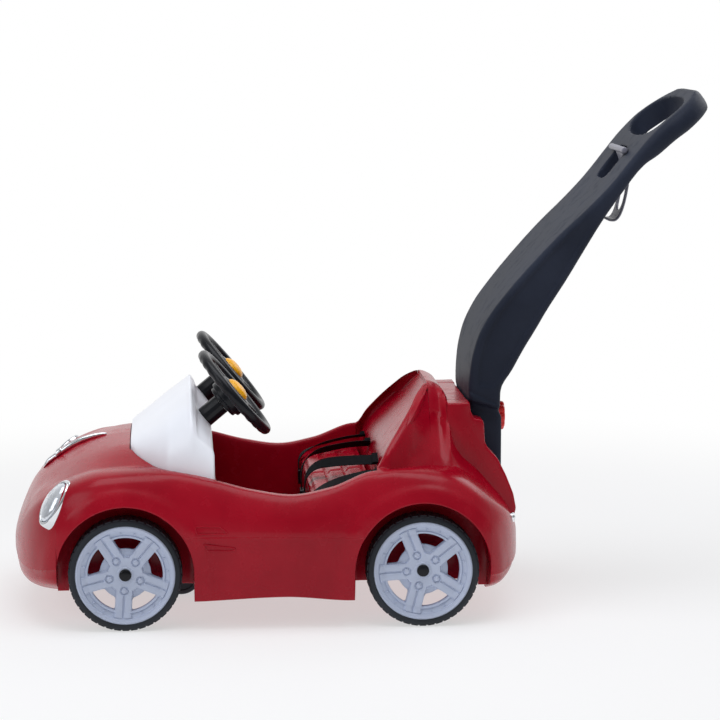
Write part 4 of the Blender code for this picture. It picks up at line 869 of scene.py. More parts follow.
def body_stations():
    """Places of the sections: even along the body, dense at its ends, arches and steps."""
    nose = [NOSE_X + NOSE_TAPER * (1 - math.cos(a)) for a in np.linspace(0.05, 1.2, 26)]
    tail = [TAIL_X - TAIL_TAPER * (1 - math.cos(a)) for a in np.linspace(0.05, 0.95, 20)]
    free = nose + tail + list(np.linspace(-0.078, 0.44, 64)) + list(np.linspace(0.446, 0.645, 52))
    fixed = []
    for step in (PAN_FRONT, BED_FRONT, TUNNEL_FRONT, CABIN_FRONT, SEAT_FRONT, SEAT_REAR,
                 WING_END, CHANNEL_FRONT, PAN_REAR):
        fixed += [step - STEP, step + STEP]
    for side in (-1, 1):
        edge = CASTER_X + side * CASTER_POCKET
        fixed += [edge - STEP, edge + STEP]
        for centre in ARCHES:
            fixed += [centre + side * (ARCH_RADIUS + d) for d in (-STEP, STEP, 0.001, 0.002)]
            fixed += [centre + side * ARCH_RADIUS * math.cos(a)
                      for a in np.radians(range(6, 90, 6))]
    kept = [x for x in free if min(abs(x - f) for f in fixed) > 0.0016]
    return sorted(kept + fixed)


def whole_ring(half, x):
    there = [(x, y, z) for y, z in half]
    back = [(x, -y, z) for y, z in reversed(half[1:-1])]
    return there + back


bm = loft([whole_ring(half_ring(x), x) for x in body_stations()])
body = mesh_object("body_moulding", bm, RED, "car", "body_shell", 38)
print("body moulding:", len(body.data.polygons), "faces")

# %% [markdown]
# ## The trunk tower
#
# Behind the seat back the moulding rises into a block with a deep slot, in which the handle's
# leg stands. From the side its outline steps down like a staircase. The block is skinned from
# side to side: each ring is that outline, drawn in a little at the two ends for soft edges, and
# with the slot taken out of it between the side plates.

# %% Trunk tower
TRUNK_HALF = 0.150
SLOT_HALF = 0.1035
SLOT_FLOOR = 0.2075
TRUNK_FOOT = 0.160
TRUNK_FRONT = 0.579
TRUNK_OUTLINE = [
    (0.6195, DECK_Z), (0.6215, 0.3600), (0.6270, 0.3480), (0.6430, 0.3440),
    (0.6455, 0.3370), (0.6475, 0.3030), (0.6530, 0.2930), (0.6710, 0.2730),
    (0.6865, 0.2420), (0.7000, 0.2080), (0.7050, 0.1820), (0.7000, TRUNK_FOOT),
]


def trunk_profile(slotted, shrink):
    """The outline in the XZ plane, with soft corners; slotted drops it to the slot's floor."""
    top = DECK_Z - 0.0006 - shrink
    knots = [(TRUNK_FRONT, TRUNK_FOOT), (TRUNK_FRONT, top), (0.600, top)]
    if slotted:
        wall = CHANNEL_FRONT
        knots += [(wall, top), (wall, SLOT_FLOOR)]
        knots += [(wall + 0.012 * k, SLOT_FLOOR) for k in range(1, 8)]
        knots += [(0.7003, SLOT_FLOOR), (0.7050, 0.1820), (0.7000, TRUNK_FOOT)]
    else:
        knots += [(x - shrink, z - shrink) for x, z in TRUNK_OUTLINE]
    radii = [0.003, 0.002] + [0.0032 if 3 < k < 12 else 0.002 for k in range(len(knots) - 4)]
    counts = [3, 4] + [2] * (len(knots) - 3)
    return [tuple(p) for p in soft_path(knots, radii, counts)]


def build_trunk():
    outer = [(TRUNK_HALF - 0.004 * (1 - math.sin(t)), False, 0.004 * (1 - math.cos(t)))
             for t in np.radians((90, 67, 45, 22, 0))]
    inner = [(0.125, False, 0.0)]
    inner += [(SLOT_HALF + 0.003 * (1 - math.sin(t)), False, 0.003 * (1 - math.cos(t)))
              for t in np.radians((0, 30, 60, 88))]
    inner += [(SLOT_HALF - 0.0002, True, 0.0), (0.05, True, 0.0)]
    half = outer + inner
    rings = []
    for y, slotted, shrink in half + [(-y, s, k) for y, s, k in reversed(half)]:
        rings.append([(x, y, z) for x, z in trunk_profile(slotted, shrink)])
    return mesh_object("trunk_tower", loft(rings), RED, "car", "body_shell", 38)


tower = build_trunk()
print("trunk tower:", len(tower.data.polygons), "faces")

# %% [markdown]
# ## Windshield and dashboard
#
# One white shell makes the windshield in front, the dashboard behind and the two cheeks that
# come down to the fenders. It is lofted along the car from soft arches; towards the crest the
# arches grow, and behind it they fall away as the dashboard's slope.

# %% Windshield
SCREEN_TOP = 0.399
SCREEN_FOOT = SCREEN_BED + 0.0004
SCREEN_EDGE = 0.0035
RECESS_DEPTH = 0.005
screen_foot_z = curve(
    (SCREEN_FRONT, 0.303), (0.022, 0.291), (0.036, 0.284), (0.055, 0.277), (0.080, 0.274),
    (0.155, 0.2625), (0.165, 0.262),
)
screen_crown = curve(
    (SCREEN_FRONT, 0.314), (0.018, 0.321), (0.031, 0.331), (0.063, 0.356), (0.095, 0.381),
    (0.110, SCREEN_TOP - 0.006), (0.118, SCREEN_TOP), (0.125, SCREEN_TOP - 0.009),
    (0.145, 0.367), (SCREEN_REAR, 0.349),
)


def screen_half(x, inset):
    """Half of the windshield's outline at x, from its foot to its crown."""
    y = screen_foot_half(x) - inset
    low = screen_foot_z(x)
    top = screen_crown(x) - inset
    rise = top - low
    corners = [
        (y, SCREEN_FOOT), (y, low), (0.955 * y, low + 0.48 * rise),
        (0.80 * y, low + 0.84 * rise), (0.50 * y, low + 0.97 * rise), (0.0, top),
    ]
    return rounded(corners, 3)


def dash_recess(x, y, z):
    """Sinks the driver's face of the dashboard behind a rim."""
    start = SCREEN_REAR - 0.032
    share = min(max((x - start) / 0.008, 0.0), 1.0)
    side = min(max((screen_foot_half(x) - 0.020 - abs(y)) / 0.010, 0.0), 1.0)
    low = min(max((z - 0.285) / 0.010, 0.0), 1.0)
    sink = RECESS_DEPTH * share * side * low
    return x - 0.8 * sink, y, z - 0.6 * sink


def build_screen():
    front = [SCREEN_FRONT + 0.004 * (1 - math.cos(a)) for a in np.radians((0, 30, 60, 90))]
    slope = list(np.linspace(SCREEN_FRONT + 0.007, 0.108, 30))
    crest = list(np.linspace(0.110, 0.130, 14))
    brink = SCREEN_REAR - SCREEN_EDGE
    rear = list(np.linspace(0.133, brink, 10))
    rear += [brink + SCREEN_EDGE * math.sin(a) for a in np.radians((30, 60, 90))]
    rings = []
    for x in front + slope + crest + rear:
        edge = max(0.0, (x - SCREEN_REAR + SCREEN_EDGE) / SCREEN_EDGE)
        shrink = SCREEN_EDGE * (1 - math.sqrt(max(1 - edge**2, 0)))
        rings.append(whole_ring([(0.0, SCREEN_FOOT)] + screen_half(x, shrink), x))
    bm = loft(rings)
    for v in bm.verts:
        v.co = dash_recess(*v.co)
    return mesh_object("windshield_moulding", bm, WHITE, "car", "windshield_dash")


screen = build_screen()
print("windshield:", len(screen.data.polygons), "faces")

# %% [markdown]
# ## Seat bench
#
# The bench is moulded with rows of soft square pads, two seats wide, that fall away at the front
# edge. A pad is the product of two soft steps, so the whole top is one sheet of heights.

# %% Seat bench
PAD_HALF = 0.207
PAD_ROWS = 3
PAD_RISE = 0.0055
PAD_SLOPE = 0.0075
BENCH_LIP, BENCH_LIP_DROP = 0.004, 0.003
BENCH_FRONT = SEAT_FRONT + 0.0005
BENCH_REAR = 0.4415
BENCH_HALF = CABIN_HALF - 0.0008
TONGUE_HALF, TONGUE_FOOT = 0.2215, 0.1904
seat_top = curve(
    (SEAT_FRONT, 0.2135), (SEAT_FRONT + 0.010, 0.2185), (SEAT_FRONT + 0.030, 0.2210),
    (SEAT_FRONT + 0.112, 0.2320),
)


def pillow(place, low, high, count):
    """0 in the seams between evenly spread pads, 1 on a pad, with round shoulders."""
    pitch = (high - low) / count
    inside = (place - low) / pitch
    if not 0 < inside < count:
        return 0.0
    return ease(pitch * min(inside % 1, 1 - inside % 1) / PAD_SLOPE)


def bench_z(x, y):
    rise = pillow(x, BENCH_FRONT + 0.004, BENCH_REAR - 0.004, PAD_ROWS)
    rise *= pillow(y, -PAD_HALF, PAD_HALF, 2)
    drop = BENCH_LIP_DROP * quarter_round((x - BENCH_FRONT) / BENCH_LIP)
    return seat_top(x) - drop + PAD_RISE * rise


def build_bench():
    across = np.linspace(-BENCH_HALF, BENCH_HALF, 141)
    lip = BENCH_FRONT + BENCH_LIP * (1 - np.cos(np.radians((0, 25, 50, 75))))
    along = np.concatenate([lip, np.linspace(BENCH_FRONT + BENCH_LIP, BENCH_REAR, 56)])
    foot = SEAT_LEDGE + 0.0004
    rings = []
    for x in along:
        ring = [(x, y, bench_z(x, y)) for y in across]
        side = [(BENCH_HALF, foot), (TONGUE_HALF, foot), (TONGUE_HALF, TONGUE_FOOT)]
        ring += [(x, y, z) for y, z in side] + [(x, -y, z) for y, z in side[::-1]]
        rings.append(ring)
    return mesh_object("bench_moulding", loft(rings), RED, "car", "seat_bench")


bench = build_bench()
print("seat bench:", len(bench.data.polygons), "faces")

# %% [markdown]
# ## Five-spoke rims
#
# The real rim is one injection moulding: a star of five double spokes over a lower web, five
# windows, and a lip with a channel in it. It is drawn as a sheet of rows and columns of points.
# The columns bend so that they run along the edges of the spokes and windows, which gives clean
# edges without a Boolean. Only the heights say where the star, the web and the channel lie.

# %% Rim sizes
SIDES = {"left": -1, "right": 1}
TRACK_HALF = 0.270
RIM_SEAT = 0.0872
RIM_BARREL = 0.0802
RIM_WALL = [(RIM_BARREL, 0.0045), (RIM_BARREL, -0.0238), (RIM_SEAT, -0.024), (RIM_SEAT, 0.0),
            (RIM_SEAT, 0.0225)]
BORE = 0.00525
SPOKES = 5
FIFTH = 2 * math.pi / SPOKES
SPOKE_HALF = 0.0150
SPOKE_TOP = 0.0178
SPOKE_END = 0.0785
WEB_TOP = 0.0085
WINDOW = (0.045, 0.0655)
WINDOW_CORNER = 0.0035
LUG_CIRCLE = 0.0285
SOFT_EDGE, EDGE_ROLL = (0.0, 0.0005, 0.0013), 0.0011
FIRST_SPOKE = {"front": math.radians(-3.8), "rear": math.radians(-14.6)}
print("five spokes between radii", LUG_CIRCLE, "and", SPOKE_END)

# %% Heights of the rim's face
LIP_LINE = (WINDOW[1], 0.069, 0.0815, 0.0845, RIM_SEAT), (0.0165, 0.0180, 0.0232, 0.0255, 0.0240)
WEB_LINE = (0.036, 0.043, WINDOW[1]), (0.0120, WEB_TOP, WEB_TOP)
BACK_LINE = (0.0137, 0.0147, *WINDOW, RIM_BARREL), (-0.024, 0.003, 0.003, 0.005, 0.005)
CHANNEL, CHANNEL_DEPTH = (0.0690, 0.0702, 0.0775, 0.0790), 0.0030
GROOVE, GROOVE_SIDE, GROOVE_DEPTH = (0.0365, 0.0385, 0.0755, 0.0775), (0.0021, 0.0010), 0.0026
BAR, BAR_START, BAR_RISE = (0.0035, 0.0060, 0.0120, 0.0148), (0.034, 0.040), 0.0008
SPOKE_CLIMB, SPOKE_SLOPE, SPOKE_FADE = 0.0040, 0.0008, 0.002
STAR_EDGE, LUG_EDGE, LUG_DEPTH = (0.0330, 0.0300), (0.0080, 0.0070), 0.0024
MIDDLE_EDGE, MIDDLE_RISE = (0.0148, 0.0138), 0.0014


def spoke_edge(r):
    """The angle from a spoke's middle to the edge of the window beside it."""
    inside = min(max(r, WINDOW[0]), WINDOW[1])
    end = max(WINDOW_CORNER - min(inside - WINDOW[0], WINDOW[1] - inside), 0.0)
    pulled = WINDOW_CORNER - math.sqrt(WINDOW_CORNER**2 - end**2)
    return math.asin(SPOKE_HALF / inside) + pulled / inside


def lip_height(r):
    """The rim outside the windows, with its channel."""
    return float(np.interp(r, *LIP_LINE)) - CHANNEL_DEPTH * soft_gate(r, *CHANNEL)


def face_height(r, angle):
    """How far the rim's outer face stands out, angle being from the nearest spoke."""
    across = r * abs(angle)
    if r < WINDOW[1]:
        web = float(np.interp(r, *WEB_LINE))
        rise = max(SPOKE_TOP, web)
    else:
        web = lip_height(r)
        rise = max(SPOKE_TOP + SPOKE_CLIMB * smooth(r, WINDOW[1], 0.078), web)
    ends = smooth(r, SPOKE_END, SPOKE_END - SPOKE_FADE)
    spoke = smooth(across, SPOKE_HALF + SPOKE_SLOPE, SPOKE_HALF - SPOKE_SLOPE) * ends
    star = max(spoke, smooth(r, *STAR_EDGE))
    height = web + (rise - web) * star
    bars = soft_gate(across, *BAR)
    groove = smooth(across, *GROOVE_SIDE) * soft_gate(r, *GROOVE)
    height += BAR_RISE * bars * smooth(r, *BAR_START) * star * ends - GROOVE_DEPTH * groove
    lug = math.hypot(r * math.cos(angle) - LUG_CIRCLE, r * math.sin(angle))
    return height + MIDDLE_RISE * smooth(r, *MIDDLE_EDGE) - LUG_DEPTH * smooth(lug, *LUG_EDGE)


print("a spoke stands", round(face_height(0.06, 0.0), 4), "m over the rim's middle plane")

# %% Rows and columns of the rim


def rim_rows():
    """Radii of the rim's front, from its bore to its lip."""
    low, high = WINDOW
    rows = [BORE, 0.008, 0.0115, 0.0135, 0.0142, 0.0150, 0.017]
    rows += list(np.arange(0.019, 0.0385, 0.00125)) + [0.0392, 0.0412]
    rows += [low - d for d in SOFT_EDGE[::-1]]
    rows += [0.0457, 0.0468, 0.0485, 0.051, 0.055, 0.059, 0.0620, 0.0637, 0.0648]
    rows += [high + d for d in SOFT_EDGE]
    rows += [0.0688, 0.0694, 0.0702, 0.072, 0.0745, 0.0757, 0.0770, 0.0778, 0.0787]
    return rows + [0.0800, 0.0815, 0.0830, 0.0845, 0.0858, 0.0867, RIM_SEAT]


def rim_columns():
    shares = [0.0, 0.05, 0.09, 0.14, 0.20, 0.31, 0.42, 0.54, 0.66, 0.78, 0.86, 0.92, 0.965, 1.0]
    spoke = [-f for f in shares[:0:-1]] + shares
    window = [0.018, 0.045] + list(np.linspace(0.1, 0.9, 13)) + [0.955, 0.982]
    return spoke, window


def back_height(r):
    return float(np.interp(r, *BACK_LINE))


def edge_drop(r, in_window, beside):
    """How far the face rolls down next to a window."""
    near = 1.0
    if in_window:
        near = min(abs(r - WINDOW[0]), abs(r - WINDOW[1]))
    elif WINDOW[0] - 1e-9 < r < WINDOW[1] + 1e-9:
        near = beside
    return EDGE_ROLL * quarter_round(near / SOFT_EDGE[-1])


print("the rim has", len(rim_rows()), "rows and", SPOKES * len(sum(rim_columns(), [])), "columns")

# %% Build the rims


def rim_column(bm, side, rows, first, share, in_window):
    """One column of points, at a share of a spoke or window: front, back and wall."""

    def vert(r, depth, turn):
        return bm.verts.new((r * math.sin(turn), side * depth, -r * math.cos(turn)))

    fronts, backs = [], []
    for r in rows:
        edge = spoke_edge(r)
        angle = edge + share * (FIFTH - 2 * edge) if in_window else share * edge
        nearest = angle if abs(angle) < FIFTH / 2 else angle - FIFTH
        beside = r * edge * (1 - abs(share)) if not in_window else 0.0
        height = face_height(r, nearest) - edge_drop(r, in_window, beside)
        fronts.append(vert(r, height, first + angle))
        if r < RIM_BARREL:
            backs.append(vert(r, back_height(r), first + angle))
    return fronts, backs, [vert(r, z, first + angle) for r, z in RIM_WALL], in_window


def rim_form(side, first):
    """One rim about its own axle, which lies along Y; side is where its face looks."""
    rows = rim_rows()
    spoke, window = rim_columns()
    gap_rows = [i for i, r in enumerate(rows) if WINDOW[0] - 1e-9 < r < WINDOW[1] + 1e-9]
    bm = bmesh.new()
    columns = []
    for k in range(SPOKES):
        for n, share in enumerate(spoke + window):
            start = first + 2 * math.pi * k / SPOKES
            columns.append(rim_column(bm, side, rows, start, share, n >= len(spoke)))
    for i, (fronts, backs, rest, here) in enumerate(columns):
        other = columns[(i + 1) % len(columns)]
        hollow = here or other[3]
        loop_a = fronts + rest[::-1] + backs[::-1]
        loop_b = other[0] + other[2][::-1] + other[1][::-1]
        size, first_gap, last_gap = len(loop_a), gap_rows[0], gap_rows[-1]
        for j in range(size):
            front_open = hollow and first_gap <= j < last_gap
            back_open = hollow and size - 1 - last_gap <= j < size - 1 - first_gap
            if not front_open and not back_open:
                n = (j + 1) % size
                bm.faces.new((loop_a[j], loop_a[n], loop_b[n], loop_b[j]))
        if hollow:
            for j in (first_gap, last_gap):
                bm.faces.new((loop_a[j], loop_b[j], other[1][j], backs[j]))
        if hollow != (columns[i - 1][3] or here):
            for j in range(first_gap, last_gap):
                bm.faces.new((fronts[j], fronts[j + 1], backs[j + 1], backs[j]))
    bmesh.ops.recalc_face_normals(bm, faces=bm.faces)
    return bm


def wheels():
    """Each wheel's name, the way it looks, its middle and its first spoke's angle."""
    for axle, angle in FIRST_SPOKE.items():
        for word, side in SIDES.items():
            x = WHEELBASE if axle == "rear" else 0.0
            yield f"{axle}_{word}", side, (x, side * TRACK_HALF, TYRE_RADIUS), angle * side


for name, side, place, first in wheels():
    bm = moved(rim_form(side, -first), *place)
    rim = mesh_object(f"rim_{name}", bm, GREY, f"wheel_{name}", f"wheel_rim_{name}", 32)
print("one rim has", len(rim.data.polygons), "faces")

# %% [markdown]
# ## Tyres, caps and what repeats round an axle
#
# The tyres are blow-moulded rings with a shallow pattern of blocks. The carcass and the hub cap
# are lathe work: one outline turned round the axle. Blocks, lug nuts and the small ribs in the
# rim's channel repeat at even angles, so one node tree sets them all: it takes one block, moves
# it out to a radius and repeats it round the axle.

# %% Tyres and hub caps
TYRE_LINE = [
    (0.0875, 0.0250), (0.0885, 0.0250), (0.0910, 0.0249), (0.0935, 0.0244), (0.0955, 0.0235),
    (0.0970, 0.0222), (0.0980, 0.0205), (0.0985, 0.0185), (0.0986, 0.0120), (0.0986, 0.0060),
]
CAP_LINE = [
    (0.0, 0.0183), (0.0106, 0.0183), (0.0108, 0.0200), (0.0106, 0.0218), (0.0098, 0.0228),
    (0.0080, 0.0236), (0.0055, 0.0241), (0.0028, 0.0244), (0.0, 0.0245),
]
for name, side, place, _ in wheels():
    ring = lathe(TYRE_LINE + [(r, -y) for r, y in TYRE_LINE[::-1]], 96, closed=True)
    mesh_object(f"tyre_ring_{name}", moved(ring, *place), TYRE, f"wheel_{name}", f"tyre_{name}")
    cap = lathe([(r, side * y) for r, y in CAP_LINE], 36)
    mesh_object(f"hub_cap_{name}", moved(cap, *place), BLACK, f"wheel_{name}", f"wheel_cap_{name}")
print("four tyres and hub caps turned")

# %% A node tree that repeats a block round an axle


def repeat_tree():
    """Inputs: how many, how far out, and the angle of the first."""
    group = bpy.data.node_groups.new("repeat_round_axle", "GeometryNodeTree")
    for label, kind in (("Block", "Geometry"), ("Count", "Int"), ("Radius", "Float"),
                        ("First Angle", "Float")):
        group.interface.new_socket(label, in_out="INPUT", socket_type="NodeSocket" + kind)
    group.interface.new_socket("Ring", in_out="OUTPUT", socket_type="NodeSocketGeometry")
    tree = Tree(group)
    given = tree.node("NodeGroupInput")
    points = tree.node("GeometryNodePoints", {"Count": given.out("Count")})
    out = tree.node("ShaderNodeCombineXYZ", {"Z": given.out("Radius")})
    moved_out = tree.node("GeometryNodeTransform", {"Geometry": given, "Translation": out})
    share = tree.node("GeometryNodeInputIndex").math("DIVIDE", given.out("Count"))
    angle = share * (2 * math.pi) + given.out("First Angle")
    turn = tree.node("ShaderNodeCombineXYZ", {"Y": angle})
    feeds = {"Points": points, "Instance": moved_out, "Rotation": turn}
    spread = tree.node("GeometryNodeInstanceOnPoints", feeds)
    tree.node("NodeGroupOutput", {0: tree.node("GeometryNodeRealizeInstances", {0: spread})})
    return group


REPEAT_TREE = repeat_tree()


def repeated(part, count, radius, first):
    """A part repeated round the Y axis."""
    holder = loose(part)
    modifier = holder.modifiers.new("repeat", "NODES")
    modifier.node_group = REPEAT_TREE
    values = {"Count": count, "Radius": radius, "First Angle": first}
    for item in REPEAT_TREE.interface.items_tree:
        if item.name in values:
            modifier[item.identifier] = values[item.name]
    return applied(holder)


def block(low, high, soften):
    """A rounded block between two corners."""
    bm = bmesh.new()
    bmesh.ops.create_cube(bm, size=1)
    bmesh.ops.scale(bm, vec=[b - a for a, b in zip(low, high)], verts=bm.verts)
    moved(bm, *[(a + b) / 2 for a, b in zip(low, high)])
    bmesh.ops.bevel(bm, geom=bm.edges[:], offset=soften, segments=1, affect="EDGES")
    return bm


def merged(*parts):
    """Several bmeshes as one."""
    whole = bmesh.new()
    for part in parts:
        mesh = bpy.data.meshes.new("part")
        part.to_mesh(mesh)
        part.free()
        whole.from_mesh(mesh)
        bpy.data.meshes.remove(mesh)
    return whole


print("the repeating tree is ready")

# %% [markdown]
# ## Tread, lug nuts and channel ribs
#
# The tread is two rows of blocks on each half of the tyre, one pitch of which is drawn and
# repeated 42 times. The five lug nuts are moulded domes in round recesses. The rim's channel
# has two small ribs across it between each pair of spokes.

# %% Repeat them
TREAD_COUNT = 42
TREAD_FOOT = -0.0035
CHANNEL_RADIUS = 0.0735
RIB_TURN = 0.16
NUT_LINE = [(0.0, 0.0150), (0.0049, 0.0150), (0.0050, 0.0172), (0.0046, 0.0184),
            (0.0036, 0.0193), (0.0020, 0.0199), (0.0, 0.0201)]


def tread_pitch():
    """One pitch of the tread: a shoulder block and a middle block on each side, staggered."""
    parts = []
    pitch = 2 * math.pi * TYRE_RADIUS / TREAD_COUNT
    for side in (-1, 1):
        for start, near, far, top in ((-0.40, 0.0120, 0.0215, -0.0008),
                                      (0.10, 0.0012, 0.0104, -0.0006)):
            x, y = start * pitch, sorted((side * near, side * far))
            parts.append(block((x, y[0], TREAD_FOOT), (x + 0.80 * pitch, y[1], top), 0.0006))
    return merged(*parts)


def channel_ribs(side):
    """Small ribs across the rim's channel, drawn for one window."""
    parts = []
    for turn in (-RIB_TURN, RIB_TURN):
        y = sorted((side * 0.0150, side * 0.0192))
        rib = block((-0.0010, y[0], -0.0022), (0.0010, y[1], 0.0022), 0.0004)
        parts.append(turned(rib, turn, "Y", (0, 0, -CHANNEL_RADIUS)))
    return merged(*parts)


for name, side, place, first in wheels():
    start = math.pi + first
    nut = lathe([(r, side * y) for r, y in NUT_LINE], 18)
    made = [
        ("tread", TYRE, tread_pitch(), TREAD_COUNT, TYRE_RADIUS, 0.0),
        ("lug_nuts", GREY, nut, SPOKES, LUG_CIRCLE, start),
        ("channel_ribs", GREY, channel_ribs(side), SPOKES, CHANNEL_RADIUS, start + FIFTH / 2),
    ]
    for kind, finish, *spread in made:
        mesh_object(f"{kind}_{name}", moved(repeated(*spread), *place), finish, f"wheel_{name}")
print("tread, lug nuts and channel ribs repeated on four wheels")

# %% [markdown]
# ## The push handle
#
# The handle is one large hollow moulding. It stands in the slot of the trunk, leans back, grows
# wide and ends in a loop for the hands. A sweep of rounded boxes gives the body, Booleans cut
# the hand hole and the hook's slot, and a fine voxel remesh with some smoothing melts the cut
# edges as a mould would. Last, points are moved for the collar, its groove and the side panels.

# %% Handle lines
LEG_FRONT, LEG_REAR, LEG_HALF = 0.622, 0.684, 0.100
PIVOT_X, PIVOT_Z = (LEG_FRONT + LEG_REAR) / 2, 0.242
LOOP_COS, LOOP_SIN = 0.8, 0.6
LOOP_END, LOOP_MID = 0.9004, 0.4772
LOOP_HALF, LOOP_BAR, LOOP_THICK = 0.165, 0.032, 0.040
HOLE_START, SLOT_MIDDLE = 0.7644, 0.7074
BOLT_Z = 0.329
HOOK_X, HOOK_Z = LEG_FRONT + 0.2867, 0.8240


def on_loop(d, n):
    """A point of the handle's straight top part: d along it and n across it."""
    return (LEG_FRONT + LOOP_COS * d - LOOP_SIN * n, LOOP_SIN * d + LOOP_COS * n)


def handle_stations():
    """Front x and z, rear x and z, half width and corner radius up the handle."""
    barrel = PIVOT_X - LEG_FRONT
    rows = []
    for a in np.radians((-86, -75, -62, -50, -40, -30, -20, -10, -3)):
        z, reach = PIVOT_Z + barrel * math.sin(a), barrel * math.cos(a)
        rows.append((PIVOT_X - reach, z, PIVOT_X + reach, z, LEG_HALF, 0.006))
    for z in (0.262, 0.290, 0.318):
        rows.append((LEG_FRONT, z, LEG_REAR, z, LEG_HALF, 0.007))
    rows += [
        (0.6220, 0.346, 0.6840, 0.340, LEG_HALF, 0.007),
        (0.6220, 0.366, 0.6790, 0.352, LEG_HALF, 0.007),
        (0.6220, 0.3715, 0.6790, 0.3565, 0.1035, 0.007),
        (0.6220, 0.3745, 0.6790, 0.3590, 0.1150, 0.008),
        (0.6218, 0.3785, 0.6795, 0.3650, 0.1180, 0.010),
        (0.6215, 0.395, 0.6800, 0.390, 0.120, 0.011),
        (0.6240, 0.435, 0.7010, 0.430, 0.122, 0.011),
        (0.6340, 0.482, 0.7220, 0.470, 0.126, 0.011),
        (0.6550, 0.527, 0.7430, 0.506, 0.130, 0.011),
        (0.6830, 0.566, 0.7600, 0.537, 0.134, 0.011),
        (0.7300, 0.622, 0.7950, 0.594, 0.140, 0.011),
        (0.7820, 0.678, 0.8290, 0.653, 0.146, 0.011),
        (0.8300, 0.724, 0.8580, 0.702, 0.151, 0.011),
        (0.8700, 0.766, 0.8890, 0.748, 0.155, 0.010),
    ]
    loop = [(HOLE_START - 0.036, 0.65, 0.159), (HOLE_START - 0.007, 0.85, 0.163)]
    for a in np.radians((0, 15, 30, 42, 53, 62, 70, 77, 83, 87.5)):
        half = LOOP_HALF * math.cos(a) ** 0.80
        thick = min(1.0, 0.95 + 0.3 * math.sin(a)) * (1 - 0.5 * smooth(math.sin(a), 0.90, 1.0))
        loop.append((LOOP_END - 0.098 + 0.098 * math.sin(a), thick, half))
    for d, thick, half in loop:
        mid = LOOP_MID - 0.008 * max(0, (HOLE_START + 0.038 - d) / 0.074)
        thick *= LOOP_THICK
        front, rear = on_loop(d, mid + thick / 2), on_loop(d, mid - thick / 2)
        rows.append((*front, *rear, half, min(0.018, 0.45 * thick)))
    return np.array(rows)


print("the handle has", len(handle_stations()), "stations")

# %% Sweep and cutting tools of the handle


def handle_sweep():
    """Rounded boxes swept along smooth lines through the stations."""
    rows = handle_stations()
    centre = (rows[:, 0:2] + rows[:, 2:4]) / 2
    steps = np.hypot(*np.diff(centre, axis=0).T)
    place = np.concatenate([[0], np.cumsum(np.maximum(steps, 0.0006))])
    lines = [curve(*zip(place, rows[:, k])) for k in range(6)]
    rings = []
    extra = np.concatenate([np.linspace(a, b, 5)[:-1] for a, b in zip(place[8:], place[9:])])
    for s in list(place[:8]) + list(extra) + [place[-1]]:
        fx, fz, rx, rz, half, soft = (line(s) for line in lines)
        deep = math.hypot(rx - fx, rz - fz)
        c = min(soft, deep * 0.45)
        corner = [(c * (1 - math.sin(a)), half - c * (1 - math.cos(a)))
                  for a in np.radians((90, 72, 54, 36, 18, 0))]
        front = [(0, half - c)] + corner[1:-1] + [(c, half)]
        points = front + [(deep - u, v) for u, v in reversed(front)]
        ring = points + [(u, -v) for u, v in reversed(points)]
        ring = [(fx + (rx - fx) * u / deep, v, fz + (rz - fz) * u / deep) for u, v in ring]
        rings.append(ring)
    return loft(rings)


def in_loop_plane(bm, d, n):
    """Lays a shape made with X along the loop and Z out of its plane."""
    x, z = on_loop(d, n)
    turn = Matrix(((LOOP_COS, 0, -LOOP_SIN), (0, 1, 0), (LOOP_SIN, 0, LOOP_COS)))
    bmesh.ops.transform(bm, matrix=turn.to_4x4(), verts=bm.verts)
    return moved(bm, x, 0, z)


def round_hole(low, high, half, power, reach):
    """A prism whose outline lies between an ellipse, at power 2, and a rectangle."""
    middle_x, long = (low + high) / 2, (high - low) / 2
    outline = []
    for a in np.linspace(0, 2 * math.pi, 64, endpoint=False):
        x, y = (math.copysign(abs(v) ** (2 / power), v) for v in (math.cos(a), math.sin(a)))
        outline.append((middle_x + long * x, half * y))
    return loft([[(x, y, z) for x, y in outline] for z in (-reach, reach)])


def rod(radius, start, end):
    """A plain cutting tool along Y."""
    return lathe([(0.0, start), (radius, start), (radius, end), (0.0, end)], 32)


print("sweep and tools are ready")

# %% Collar and side panels
COLLAR, COLLAR_RISE, COLLAR_LEAN = (0.3640, 0.3665, 0.3885, 0.3915), 0.0016, 0.47
NECK, NECK_DEPTH, SIDE_EDGE = (0.3885, 0.3905, 0.3930, 0.3960), 0.0012, (0.09, 0.10)
PANEL, PANEL_EDGE, PANEL_DEPTH = (0.395, 0.41, 0.66, 0.72), (0.0150, 0.0185), 0.0035
handle_front_x, handle_rear_x = (
    curve(*[(row[k + 1], row[k]) for row in handle_stations() if 0.25 < row[k + 1] < 0.80])
    for k in (0, 2)
)


def handle_detail(x, y, z):
    """Moves a point of the handle for the collar, its groove and the side panels."""
    side, y_out = math.copysign(1, y), abs(y)
    up = z + COLLAR_LEAN * (x - LEG_FRONT)
    lift = COLLAR_RISE * soft_gate(up, *COLLAR) - NECK_DEPTH * soft_gate(up, *NECK)
    if 0.36 < z < 0.72:
        inward = min(x - handle_front_x(z), 0.8 * (handle_rear_x(z) - x) + 0.006)
        panel = smooth(inward, *PANEL_EDGE) * soft_gate(z, *PANEL)
        y -= side * PANEL_DEPTH * panel * smooth(y_out, 0.085, 0.10)
    return x, y + side * lift * smooth(y_out, *SIDE_EDGE), z


